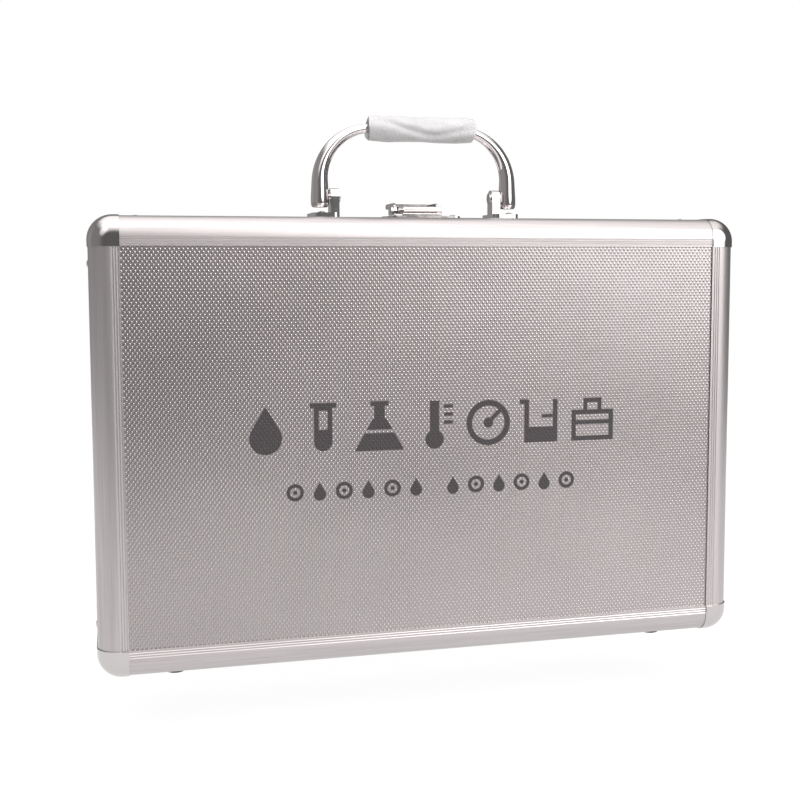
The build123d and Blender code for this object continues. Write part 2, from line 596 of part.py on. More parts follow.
def latch_plate():
    """The base's plate, with two ears that carry the lever's pin."""
    front = PARTING_Y + LATCH_FROM_PARTING
    half_x = LATCH_PLATE_WIDTH / 2
    plate = block(-half_x, half_x, front, front + LATCH_BASE_LENGTH, TOP_Z, TOP_Z + LATCH_PLATE_WALL)
    plate = fillet(plate.edges().filter_by(Axis.Z), PLATE_CORNER)
    y, z = LEVER_PIVOT
    for side in (-1, 1):
        x = side * (LEVER_WIDTH / 2 + FIT + EAR_WALL / 2)
        plate += block(x - EAR_WALL / 2, x + EAR_WALL / 2, y - EAR_RADIUS, y + EAR_RADIUS,
                       TOP_Z + LATCH_PLATE_WALL / 2, z)
        plate += rod(EAR_RADIUS, EAR_WALL, (x, y, z), (1, 0, 0))
    plate -= rod(LEVER_PIN_RADIUS, LEVER_WIDTH * 2, (0, y, z), (1, 0, 0))
    return drilled(plate, latch_rivet_places(BASE), LATCH_PLATE_WALL * 2)


def latch_lever():
    """The folded lever: two cheeks on its pin, and a plate behind the claw pin with a rolled finger lip."""
    y, z = LEVER_PIVOT
    claw_y, claw_z = CLAW_PIVOT
    half_x = LEVER_WIDTH / 2
    rear = PARTING_Y + LATCH_FROM_PARTING + LATCH_BASE_LENGTH
    top = TOP_Z + LEVER_TOP
    low = z - CHEEK_BELOW_PIN
    # the cheeks' front ends turn past the plate when the lever opens
    round_radius = LEVER_PIVOT_UP - LATCH_PLATE_WALL - FIT
    plate_front = claw_y + CLAW_PIN_RADIUS + CLAW_WALL + FIT * 3
    lever = block(-half_x, half_x, plate_front, rear, top - LEVER_WALL, top)
    lever += rod(LEVER_LIP_RADIUS, LEVER_WIDTH, (0, rear, top - LEVER_LIP_RADIUS), (1, 0, 0))
    for side in (-1, 1):
        x = side * (half_x - LEVER_WALL / 2)
        cheek = block(x - LEVER_WALL / 2, x + LEVER_WALL / 2, y, plate_front + LEVER_WALL, low, top)
        front_round = rod(round_radius, LEVER_WALL, (x, y, z), (1, 0, 0))
        cheek += front_round & block(-LEVER_WIDTH, LEVER_WIDTH, y - 2 * round_radius, y, low, top)
        lever += cheek
    lever -= rod(LEVER_PIN_RADIUS + RUNNING_CLEARANCE, LEVER_WIDTH * 2, (0, y, z), (1, 0, 0))
    return lever - rod(CLAW_PIN_RADIUS, LEVER_WIDTH * 2, (0, claw_y, claw_z), (1, 0, 0))


def latch_claw():
    """The draw claw: a flat link with an eye on the claw pin and a rolled nose over the keeper's lip."""
    y, z = CLAW_PIVOT
    nose_y = PARTING_Y - KEEPER_LIP_BACK - KEEPER_LIP_WALL - CLAW_NOSE_RADIUS
    low = TOP_Z + KEEPER_LIP_TOP + CLAW_OVER_LIP
    pivot_y, pivot_z = LEVER_PIVOT
    step_y = pivot_y - LEVER_PIN_RADIUS - 4 * CLAW_OVER_PIN
    over_pin = pivot_z + LEVER_PIN_RADIUS + CLAW_OVER_PIN
    half_x = CLAW_WIDTH / 2
    claw = block(-half_x, half_x, nose_y, step_y, low, low + CLAW_WALL)
    claw += rod(CLAW_NOSE_RADIUS, CLAW_WIDTH, (0, nose_y, low + CLAW_NOSE_RADIUS), (1, 0, 0))
    claw += block(-half_x, half_x, step_y - CLAW_WALL, step_y, low, over_pin + CLAW_WALL)
    claw += block(-half_x, half_x, step_y - CLAW_WALL, y, over_pin, over_pin + CLAW_WALL)
    claw += rod(CLAW_PIN_RADIUS + CLAW_WALL, CLAW_WIDTH, (0, y, z), (1, 0, 0))
    return claw - rod(CLAW_PIN_RADIUS + RUNNING_CLEARANCE, LEVER_WIDTH * 2, (0, y, z), (1, 0, 0))


# ---- Contents ---------------------------------------------------------------------------------
def meter_shell(x0, x1, margin):
    """A rounded bar along X of the meter's section, larger by a margin."""
    half_z, half_y = METER_WIDTH / 2 + margin, METER_THICK / 2 + margin
    bar = block(x0, x1, METER_Y - half_y, METER_Y + half_y, METER_Z - half_z, METER_Z + half_z)
    return fillet(bar.edges().filter_by(Axis.X), METER_EDGE)


def display_block(depth, margin):
    """A block of the display's outline, from the meter's face to a depth."""
    half_x, half_z = DISPLAY_WIDTH / 2 - margin, DISPLAY_HEIGHT / 2 - margin
    return block(DISPLAY_X - half_x, DISPLAY_X + half_x, METER_FRONT_Y, METER_FRONT_Y + depth,
                 METER_Z - half_z, METER_Z + half_z)


def meter_body():
    """The meter's housing, with the sensor guard that the cap covers, a display window and a button bore."""
    body = meter_shell(METER_BODY_X, METER_BODY_X + METER_LENGTH, 0)
    body += meter_shell(METER_X + METER_CAP_WALL + FIT, METER_BODY_X + BURIED, -METER_CAP_WALL - FIT)
    body -= display_block(DISPLAY_WALL, 0) + display_block(-OVERCUT, 0)
    bore = (BUTTON_X, METER_FRONT_Y, METER_Z)
    return body - rod(METER_BUTTON_RADIUS + FIT, METER_BUTTON_BORE, bore, (0, 1, 0))


def meter_display():
    """The clear window over the display."""
    return display_block(DISPLAY_WALL, FIT)


def meter_button():
    """The push button, in its bore with room to travel."""
    depth = METER_BUTTON_BORE / 2 - METER_BUTTON_TRAVEL - FIT
    middle = METER_FRONT_Y + (depth - BUTTON_PROUD) / 2
    return rod(METER_BUTTON_RADIUS, depth + BUTTON_PROUD, (BUTTON_X, middle, METER_Z), (0, 1, 0))


def meter_cap():
    """The cap over the probe, open towards the meter."""
    x1 = METER_BODY_X - FIT
    shell = meter_shell(METER_X, x1, 0)
    room = meter_shell(METER_X + METER_CAP_WALL, x1 + OVERCUT, -METER_CAP_WALL)
    return shell - room


def bottle_axis_x(index):
    """X of a bottle's axis."""
    return BOTTLE_FIRST_X + index * BOTTLE_PITCH


def turned(points, x, y, z):
    """A solid of revolution about a vertical axis, from (radius, height) points."""
    with BuildPart() as part:
        with BuildSketch(Plane.XZ):
            with BuildLine():
                Polyline(*points, close=True)
            make_face()
        revolve(axis=Axis.Z)
    return part.part.moved(Pos(x, y, z))


def bottle(index):
    """A squeeze bottle with a round shoulder, a neck and a dropper tip."""
    r, h, n = BOTTLE_RADIUS, BOTTLE_HEIGHT, BOTTLE_NECK_RADIUS
    neck_top = h + BOTTLE_NECK
    drop = r - n
    outline = [(0, 0), (r - 1, 0), (r, 1), (r, h - drop), (r - drop * 0.2, h - drop * 0.5)]
    outline += [(r - drop * 0.65, h - drop * 0.14), (n, h), (n, neck_top - 2)]
    outline += [(BOTTLE_TIP_ROOT, neck_top - 1)]
    outline += [(BOTTLE_TIP_RADIUS, neck_top + BOTTLE_TIP), (0, neck_top + BOTTLE_TIP)]
    return turned(outline, bottle_axis_x(index), BOTTLE_Y, BOTTLE_BASE_Z)


def bottle_cap(index):
    """The ribbed screw cap over a bottle's neck and tip."""
    r, h, bore = BOTTLE_CAP_RADIUS, BOTTLE_CAP_HEIGHT, BOTTLE_NECK_RADIUS + RUNNING_CLEARANCE
    outline = [(bore, 0), (r, 0), (r, h * 0.55), (r * 0.6, h), (0, h), (0, h - 3), (bore * 0.6, h - 4)]
    outline += [(bore, h * 0.52)]
    return turned(outline, bottle_axis_x(index), BOTTLE_Y, BOTTLE_BASE_Z + BOTTLE_HEIGHT + FIT)


def cell_x(side):
    """X of a comparator cell's axis."""
    return COMPARATOR_X + side * CELL_OFFSET


def comparator_block():
    """The clear block with two sample cells and a recess for the colour scale between them."""
    half_x, half_y, half_z = COMPARATOR_WIDTH / 2, COMPARATOR_THICK / 2, COMPARATOR_HEIGHT / 2
    solid = block(COMPARATOR_X - half_x, COMPARATOR_X + half_x, COMPARATOR_Y - half_y, COMPARATOR_Y + half_y,
                  COMPARATOR_Z - half_z, COMPARATOR_Z + half_z)
    solid = fillet(solid.edges().filter_by(Axis.Y), COMPARATOR_CORNER)
    top = COMPARATOR_Z + half_z
    for side in (-1, 1):
        half_cell = CELL_WIDTH / 2
        solid -= block(cell_x(side) - half_cell, cell_x(side) + half_cell, COMPARATOR_Y - half_cell,
                       COMPARATOR_Y + half_cell, top - CELL_DEPTH, top + OVERCUT)
    front = COMPARATOR_Y - half_y
    half_x, half_z = SCALE_WIDTH / 2, SCALE_HEIGHT / 2
    return solid - block(COMPARATOR_X - half_x, COMPARATOR_X + half_x, front - OVERCUT, front + SCALE_WALL,
                         COMPARATOR_Z - half_z, COMPARATOR_Z + half_z)


def comparator_scale():
    """The printed colour scale, set into the block's face."""
    front = COMPARATOR_Y - COMPARATOR_THICK / 2
    half_x, half_z = SCALE_WIDTH / 2 - FIT, SCALE_HEIGHT / 2 - FIT
    return block(COMPARATOR_X - half_x, COMPARATOR_X + half_x, front, front + SCALE_WALL,
                 COMPARATOR_Z - half_z, COMPARATOR_Z + half_z)


def comparator_cap(side):
    """A cell's push-in cap."""
    top = COMPARATOR_Z + COMPARATOR_HEIGHT / 2
    half_cell = CELL_WIDTH / 2 - CELL_PLUG_FIT
    flange = CELL_WIDTH / 2 + CELL_FLANGE
    x = cell_x(side)
    y0, y1 = COMPARATOR_Y - flange, COMPARATOR_Y + flange
    cap = block(x - flange, x + flange, y0, y1, top, top + CELL_CAP_HEIGHT)
    cap = fillet(cap.edges().filter_by(Axis.Z), COMPARATOR_CORNER)
    plug = block(x - half_cell, x + half_cell, COMPARATOR_Y - half_cell, COMPARATOR_Y + half_cell,
                 top - CELL_PLUG, top + BURIED)
    return cap + plug


def spare_pocket_box():
    """X and Z limits of the empty pocket for cups and test strips."""
    x1 = COMPARATOR_X + SPARE_POCKET_WIDTH / 2 + SPARE_POCKET_SHIFT
    z0 = BOTTLE_BASE_Z - SPARE_POCKET_DROP
    return x1 - SPARE_POCKET_WIDTH, x1, z0, z0 + SPARE_POCKET_HEIGHT


def foam_tray():
    """The foam block in the base, cut out for each item with finger room beside it."""
    half_x = CASE_WIDTH / 2 - LINING_INNER - FIT
    half_z = CASE_HEIGHT / 2 - LINING_INNER - FIT
    tray = block(-half_x, half_x, TRAY_FACE_Y, TRAY_BACK_Y, MIDDLE_Z - half_z, MIDDLE_Z + half_z)
    front, gap = TRAY_FACE_Y - OVERCUT, ITEM_CLEARANCE
    meter_back = METER_Y + METER_THICK / 2 + gap
    half_w = METER_WIDTH / 2 + gap
    tray -= block(METER_X - METER_CAP_TRAVEL - gap, METER_BODY_X + METER_LENGTH + gap, front, meter_back,
                  METER_Z - half_w, METER_Z + half_w)
    notch_x = METER_BODY_X + METER_LENGTH / 2
    notch = (notch_x, TRAY_FACE_Y, METER_Z - half_w)
    tray -= rod(FINGER_NOTCH_WIDTH / 2, 2 * FINGER_NOTCH_DEPTH, notch, (0, 1, 0))
    for index in range(BOTTLE_COUNT):
        x = bottle_axis_x(index)
        r = BOTTLE_RADIUS + gap
        z0, z1 = BOTTLE_BASE_Z - gap, BOTTLE_BASE_Z + BOTTLE_HEIGHT + BOTTLE_CAP_HEIGHT + BOTTLE_HEADROOM
        tray -= block(x - r, x + r, front, BOTTLE_Y, z0, z1)
        tray -= rod(r, z1 - z0, (x, BOTTLE_Y, (z0 + z1) / 2), (0, 0, 1))
    half_cx = COMPARATOR_WIDTH / 2 + gap
    low = COMPARATOR_Z - COMPARATOR_HEIGHT / 2 - gap
    high = COMPARATOR_Z + COMPARATOR_HEIGHT / 2 + CELL_CAP_HEIGHT + CELL_CAP_TRAVEL + gap
    comparator_back = COMPARATOR_Y + COMPARATOR_THICK / 2 + gap
    tray -= block(COMPARATOR_X - half_cx, COMPARATOR_X + half_cx, front, comparator_back, low, high)
    x0, x1, z0, z1 = spare_pocket_box()
    tray -= block(x0, x1, front, TRAY_FACE_Y + SPARE_POCKET_DEPTH, z0, z1)
    half_card_x, half_card_z = CARD_WIDTH / 2 + gap, CARD_HEIGHT / 2 + gap
    return tray - block(CARD_X - half_card_x, CARD_X + half_card_x, front, TRAY_FACE_Y + CARD_RECESS,
                        CARD_Z - half_card_z, CARD_Z + half_card_z)


def colour_card():
    """The stiff colour card, lying in its shallow recess."""
    back = TRAY_FACE_Y + CARD_RECESS
    card = block(CARD_X - CARD_WIDTH / 2, CARD_X + CARD_WIDTH / 2, back - CARD_THICK, back,
                 CARD_Z - CARD_HEIGHT / 2, CARD_Z + CARD_HEIGHT / 2)
    return fillet(card.edges().filter_by(Axis.Y), CARD_CORNER)


def lid_foam():
    """The pad in the lid that holds the contents down."""
    half_x = CASE_WIDTH / 2 - LINING_INNER - FIT
    half_z = CASE_HEIGHT / 2 - LINING_INNER - FIT
    y0 = FACE_Y + PANEL_BACK + RAIL_WALL + FIT
    return block(-half_x, half_x, y0, y0 + LID_FOAM, MIDDLE_Z - half_z, MIDDLE_Z + half_z)


# ---- Writing the pieces -----------------------------------------------------------------------
def save(name, *shapes):
    """Writes one node's STEP file, each solid separate."""
    solids = [solid for shape in shapes for solid in shape.solids()]
    whole = solids[0] if len(solids) == 1 else Compound(children=solids)
    export_step(whole, f"parts/{name}.step")


def save_half(half, name):
    """Writes the frame, panel, lining, rivets and feet of one half."""
    places = corner_rivet_places(half)
    top_places = places + latch_rivet_places(half) + (handle_rivet_places() if half is BASE else [])
    for side in ("top", "bottom", "left", "right"):
        holes = {"top": top_places, "bottom": places + hinge_rivet_places(half)}.get(side, places)
        save(f"{name}_rail_{side}", drilled(rail(half, side), holes, 2 * (RAIL_WALL + HANDLE_BASE_THICK)))
    for x_sign, x_name in ((-1, "left"), (1, "right")):
        for z_sign, z_name in ((1, "top"), (-1, "bottom")):
            cap = drilled(corner_cap(half, x_sign, z_sign), places, RAIL_WALL + TONGUE_WALL + 2 * FIT)
            save(f"{name}_corner_{z_name}_{x_name}", cap)
    skin_back = PANEL_RECESS + PANEL_SKIN
    save(f"{name}_panel", panel_outline(half, PANEL_RECESS, skin_back, FIT))
    save(f"{name}_board", panel_outline(half, skin_back, PANEL_BACK, FIT))
    save(f"{name}_lining", lining(half))
    save(f"{name}_rivets", *all_rivets(half))
    save(f"{name}_feet", *feet(half))


def main():
    """Builds every piece and writes parts/."""
    os.makedirs("parts", exist_ok=True)
    save_half(LID, "lid")
    save_half(BASE, "base")
    save("lid_foam", lid_foam())
    save("foam_tray", foam_tray())
    save("hinge_leaves_lid", *[hinge_leaf(LID, side) for side in (-1, 1)])
    save("hinge_leaves_base", *[hinge_leaf(BASE, side) for side in (-1, 1)])
    save("hinge_pins", *[hinge_pin(side) for side in (-1, 1)])
    bail = handle_bail()
    grip = bar_sleeve(bail, GRIP_LENGTH, GRIP_RADIUS, 0)
    save("handle_bail", bail)
    save("handle_grip", grip)
    save("grip_wrap", bar_sleeve(bail, WRAP_LENGTH, WRAP_RADIUS, WRAP_OFFSET) - grip)
    for side, word in ((-1, "left"), (1, "right")):
        save(f"handle_foot_{word}", handle_foot(side))
        save(f"handle_pin_{word}", pivot_pin(side))
        save(f"comparator_cap_{word}", comparator_cap(side))
    save("latch_keeper", keeper())
    save("latch_plate", latch_plate())
    save("latch_lever", latch_lever())
    pin_length = LEVER_WIDTH + 2 * (FIT + EAR_WALL)
    save("latch_lever_pin", rod(LEVER_PIN_RADIUS, pin_length, (0, *LEVER_PIVOT), (1, 0, 0)))
    save("latch_claw", latch_claw())
    save("latch_claw_pin", rod(CLAW_PIN_RADIUS, LEVER_WIDTH, (0, *CLAW_PIVOT), (1, 0, 0)))
    save("meter_body", meter_body())
    save("meter_display", meter_display())
    save("meter_button", meter_button())
    save("meter_cap", meter_cap())
    save("comparator_block", comparator_block())
    save("comparator_scale", comparator_scale())
    save("colour_card", colour_card())
    for index in range(BOTTLE_COUNT):
        save(f"reagent_bottle_{index + 1}", bottle(index))
        save(f"reagent_cap_{index + 1}", bottle_cap(index))


main()
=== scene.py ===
"""Looks of a water test kit in a slim aluminium carry case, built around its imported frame."""

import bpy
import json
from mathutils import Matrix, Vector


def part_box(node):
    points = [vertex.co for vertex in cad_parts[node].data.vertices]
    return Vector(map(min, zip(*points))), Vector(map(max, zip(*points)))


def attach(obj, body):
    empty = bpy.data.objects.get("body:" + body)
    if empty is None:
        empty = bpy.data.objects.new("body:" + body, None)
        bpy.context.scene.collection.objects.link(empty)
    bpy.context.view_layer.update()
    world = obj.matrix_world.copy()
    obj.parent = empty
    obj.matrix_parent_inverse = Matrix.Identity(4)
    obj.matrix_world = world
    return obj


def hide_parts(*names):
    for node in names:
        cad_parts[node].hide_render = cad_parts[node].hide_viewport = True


bl_info = {
    "name": "Water test kit",
    "version": (1, 0, 0),
    "blender": (4, 5, 0),
    "location": "View3D > Sidebar > Test kit",
    "description": "Finishes and modelled pieces of a water test kit in an aluminium carry case",
    "category": "Object",
}

import json
from math import atan2, cos, exp, pi, radians, sin

import bmesh
import bpy
from bpy.props import FloatProperty, FloatVectorProperty, IntProperty, PointerProperty
from mathutils import Matrix, Vector, noise

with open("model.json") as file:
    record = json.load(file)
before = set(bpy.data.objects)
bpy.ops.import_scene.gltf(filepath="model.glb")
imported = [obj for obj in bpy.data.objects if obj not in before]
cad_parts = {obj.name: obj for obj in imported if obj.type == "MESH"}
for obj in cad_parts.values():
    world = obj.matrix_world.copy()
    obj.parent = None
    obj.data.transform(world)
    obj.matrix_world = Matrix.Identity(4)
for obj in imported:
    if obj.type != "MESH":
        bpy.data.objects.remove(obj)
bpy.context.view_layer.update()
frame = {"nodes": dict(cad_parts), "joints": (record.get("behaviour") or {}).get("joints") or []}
MM = 0.001
SHEET_SETBACK = 0.03 * MM
# Which way each half's panel faces along Y.
HALVES = {"lid": -1, "base": 1}
JOINTS = {joint["name"]: joint for joint in frame["joints"]}
LINEAR_RGB = {"subtype": "COLOR", "size": 3, "min": 0.0, "max": 1.0}


# ---- What a user may change --------------------------------------------------------------------
class CaseSettings(bpy.types.PropertyGroup):
    """Sizes and colours of the aluminium case."""

    dimple_pitch: FloatProperty(
        name="Dimple pitch", description="From dimple to dimple along a row, in millimetres", default=2.1)
    dimple_row: FloatProperty(
        name="Dimple rows", description="From one row of dimples to the next, in millimetres", default=1.47)
    dimple_height: FloatProperty(
        name="Dimple height", description="Depth of the dimples' shading, in millimetres", default=0.115)
    dimple_relief: FloatProperty(
        name="Dimple relief", description="Height of the modelled dimples, in millimetres", default=0.03)
    rail_colour: FloatVectorProperty(
        name="Rails", description="Colour of the anodised rails", default=(0.53, 0.495, 0.497), **LINEAR_RGB)
    sheet_colour: FloatVectorProperty(
        name="Sheet", description="Colour of the embossed sheet", default=(0.44, 0.405, 0.407), **LINEAR_RGB)
    cap_colour: FloatVectorProperty(
        name="Corner caps", description="Colour of the caps", default=(0.56, 0.535, 0.53), **LINEAR_RGB)
    ink_colour: FloatVectorProperty(
        name="Ink", description="Colour of the printing", default=(0.045, 0.038, 0.040), **LINEAR_RGB)


class HandleSettings(bpy.types.PropertyGroup):
    """Sizes and colours of the handle."""

    stations: IntProperty(name="Arm steps", description="Sections along each arm of the bail", default=26)
    foot_width: FloatProperty(
        name="Arm foot", description="Arm's width at its pivot, in millimetres", default=9.3)
    tip_width: FloatProperty(
        name="Arm tip", description="Arm's width at the grip, in millimetres", default=4.3)
    bend: FloatProperty(name="Bend", description="Radius of each arm's bend, in millimetres", default=27.0)
    chrome_colour: FloatVectorProperty(
        name="Chrome", description="Colour of the bright plating", default=(0.74, 0.71, 0.705), **LINEAR_RGB)
    wrap_colour: FloatVectorProperty(
        name="Wrap", description="Colour of the packing foam", default=(0.62, 0.615, 0.62), **LINEAR_RGB)


class ContentsSettings(bpy.types.PropertyGroup):
    """Sizes and colours of the contents and their foam."""

    crate_pitch: FloatProperty(
        name="Egg-crate pitch", description="From crest to crest of the pad, in millimetres", default=19.0)
    crate_height: FloatProperty(
        name="Egg-crate height", description="Half the height of its waves, in millimetres", default=4.5)
    foam_colour: FloatVectorProperty(
        name="Foam", description="Colour of the foam tray", default=(0.018, 0.018, 0.020), **LINEAR_RGB)
    bottle_colour: FloatVectorProperty(
        name="Bottles", description="Colour of the squeeze bottles", default=(0.86, 0.88, 0.86), **LINEAR_RGB)
    cap_ribs: IntProperty(name="Cap ribs", description="Ribs round a bottle's cap", default=30)


class StageSettings(bpy.types.PropertyGroup):
    """The camera and the floor."""

    camera_place: FloatVectorProperty(
        name="Camera", description="Where the camera stands", subtype="TRANSLATION", unit="LENGTH",
        default=(-0.1563, -0.5958, 0.1973))
    camera_turn: FloatVectorProperty(
        name="Camera turn", description="How the camera is turned", subtype="EULER", unit="ROTATION",
        default=(radians(85.05), radians(0.2), radians(-13.957)))
    focal_length: FloatProperty(
        name="Focal length", description="Lens in millimetres, on a sensor 36 mm wide", default=52.82)
    lens_shift: FloatProperty(name="Lens shift", description="Upward shift of the frame", default=-0.0335)
    table_reach: FloatProperty(
        name="Table reach", description="How far the table reaches to the front", unit="LENGTH", default=0.62)
    floor_colour: FloatVectorProperty(
        name="Floor", description="Colour of the floor", default=(0.10, 0.10, 0.10), **LINEAR_RGB)


# ---- Mesh helpers -------------------------------------------------------------------------------
def settings():
    """The scene's settings for this kit."""
    return bpy.context.scene.test_kit


def make_piece(name, bm, material, smooth=True, sharp_angle=40):
    """Turns a bmesh into a finished object at the origin, with one material."""
    mesh = bpy.data.meshes.new(name)
    bm.to_mesh(mesh)
    bm.free()
    piece = bpy.data.objects.new(name, mesh)
    bpy.context.scene.collection.objects.link(piece)
    mesh.materials.append(material)
    if smooth:
        mesh.shade_smooth()
        mesh.set_sharp_from_angle(angle=radians(sharp_angle))
    return piece


def place(piece, body, slot, *replaced):
    """Rides a piece on its body and hides the CAD nodes that it stands for; the slot is not used."""
    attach(piece, body)
    if replaced:
        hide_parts(*replaced)
    return piece


def paint(material, *nodes):
    """Gives CAD nodes a material."""
    for name in nodes:
        node = frame["nodes"][name]
        if not node.material_slots:
            node.data.materials.append(material)
        for slot in node.material_slots:
            slot.material = material


def add_box(bm, low, high, bevel=0.0):
    """Adds a box between two corners, with its edges rounded by the bevel."""
    low, high = Vector(low), Vector(high)
    size, middle = high - low, (high + low) / 2
    matrix = Matrix.Translation(middle) @ Matrix.Diagonal((*size, 1))
    made = bmesh.ops.create_cube(bm, size=1.0, matrix=matrix)
    if bevel:
        edges = {edge for vert in made["verts"] for edge in vert.link_edges}
        bmesh.ops.bevel(bm, geom=list(edges), offset=bevel, segments=3, profile=0.5, affect="EDGES",
                        material=-1, clamp_overlap=True)


def spin(bm, profile, centre, sweep, steps):
    """Turns a profile about a vertical axis; a full turn closes on itself."""
    bmesh.ops.spin(bm, geom=profile, cent=centre, axis=(0, 0, 1), dvec=(0, 0, 0), angle=sweep, steps=steps,
                   use_merge=sweep >= 2 * pi)


def add_lathe(bm, profile, centre, steps):
    """Adds a solid of revolution about a vertical axis, from (radius, height) points in millimetres."""
    verts = [bm.verts.new(centre + Vector((radius * MM, 0, height * MM))) for radius, height in profile]
    edges = [bm.edges.new(pair) for pair in zip(verts, verts[1:])]
    spin(bm, verts + edges, centre, 2 * pi, steps)
    bmesh.ops.remove_doubles(bm, verts=bm.verts, dist=1e-6)
    bmesh.ops.recalc_face_normals(bm, faces=bm.faces)


def open_rim(bm):
    """The edges that only one face uses."""
    return [edge for edge in bm.edges if edge.is_boundary]


def close_ends(bm):
    """Fills every open loop of a bmesh."""
    bmesh.ops.holes_fill(bm, edges=open_rim(bm), sides=0)
    bmesh.ops.recalc_face_normals(bm, faces=bm.faces)


def extend_ring(bm, ring, shape_vert):
    """Extrudes a ring of edges and gives each new vertex its place; returns the new ring."""
    made = bmesh.ops.extrude_edge_only(bm, edges=ring)["geom"]
    for vert in (item for item in made if isinstance(item, bmesh.types.BMVert)):
        vert.co = shape_vert(vert.co)
    return [item for item in made if isinstance(item, bmesh.types.BMEdge)]


def add_circle(bm, segments, radius, matrix):
    """Adds a ring of edges and returns it."""
    circle = bmesh.ops.create_circle(bm, segments=segments, radius=radius, matrix=matrix)["verts"]
    return list({edge for vert in circle for edge in vert.link_edges})


def make_slab(name, material, sharp_angle, middle, size, steps, face, back, rise):
    """An upright slab from its face back; the face is a grid whose vertices rise(x, z) moves along Y."""
    bm = bmesh.new()
    bmesh.ops.create_grid(bm, x_segments=steps[0], y_segments=steps[1], size=0.5)
    bmesh.ops.scale(bm, vec=(*size, 1), verts=bm.verts)
    bmesh.ops.rotate(bm, cent=(0, 0, 0), matrix=Matrix.Rotation(radians(90), 3, "X"), verts=bm.verts)
    bmesh.ops.translate(bm, vec=(middle.x, face, middle.z), verts=bm.verts)
    for vert in bm.verts:
        vert.co.y += rise(vert.co.x, vert.co.z - middle.z)
    extend_ring(bm, open_rim(bm), lambda co: Vector((co.x, back, co.z)))
    close_ends(bm)
    return make_piece(name, bm, material, sharp_angle=sharp_angle)


def bell(offset, width, power=2):
    """A smooth hump: 1 at no offset, and next to nothing past its width."""
    return exp(-(offset / width) ** power)


def span(node):
    """A CAD node's low corner, middle and high corner."""
    low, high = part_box(node)
    return low, (low + high) / 2, high


# ---- Node helpers -------------------------------------------------------------------------------
class Signal:
    """A number in a node tree, which arithmetic extends with Math nodes."""

    def __init__(self, tree, socket):
        self.tree = tree
        self.socket = socket

    def math(self, operation, *others):
        """Adds one Math node."""
        node = self.tree.nodes.new("ShaderNodeMath")
        node.operation = operation
        for number, value in enumerate((self, *others)):
            if isinstance(value, Signal):
                self.tree.links.new(value.socket, node.inputs[number])
            else:
                node.inputs[number].default_value = value
        return Signal(self.tree, node.outputs[0])

    def __add__(self, other):
        return self.math("ADD", other)

    def __sub__(self, other):
        return self.math("SUBTRACT", other)

    def __mul__(self, other):
        return self.math("MULTIPLY", other)

    def __neg__(self):
        return self.math("MULTIPLY", -1.0)

    def __abs__(self):
        return self.math("ABSOLUTE")


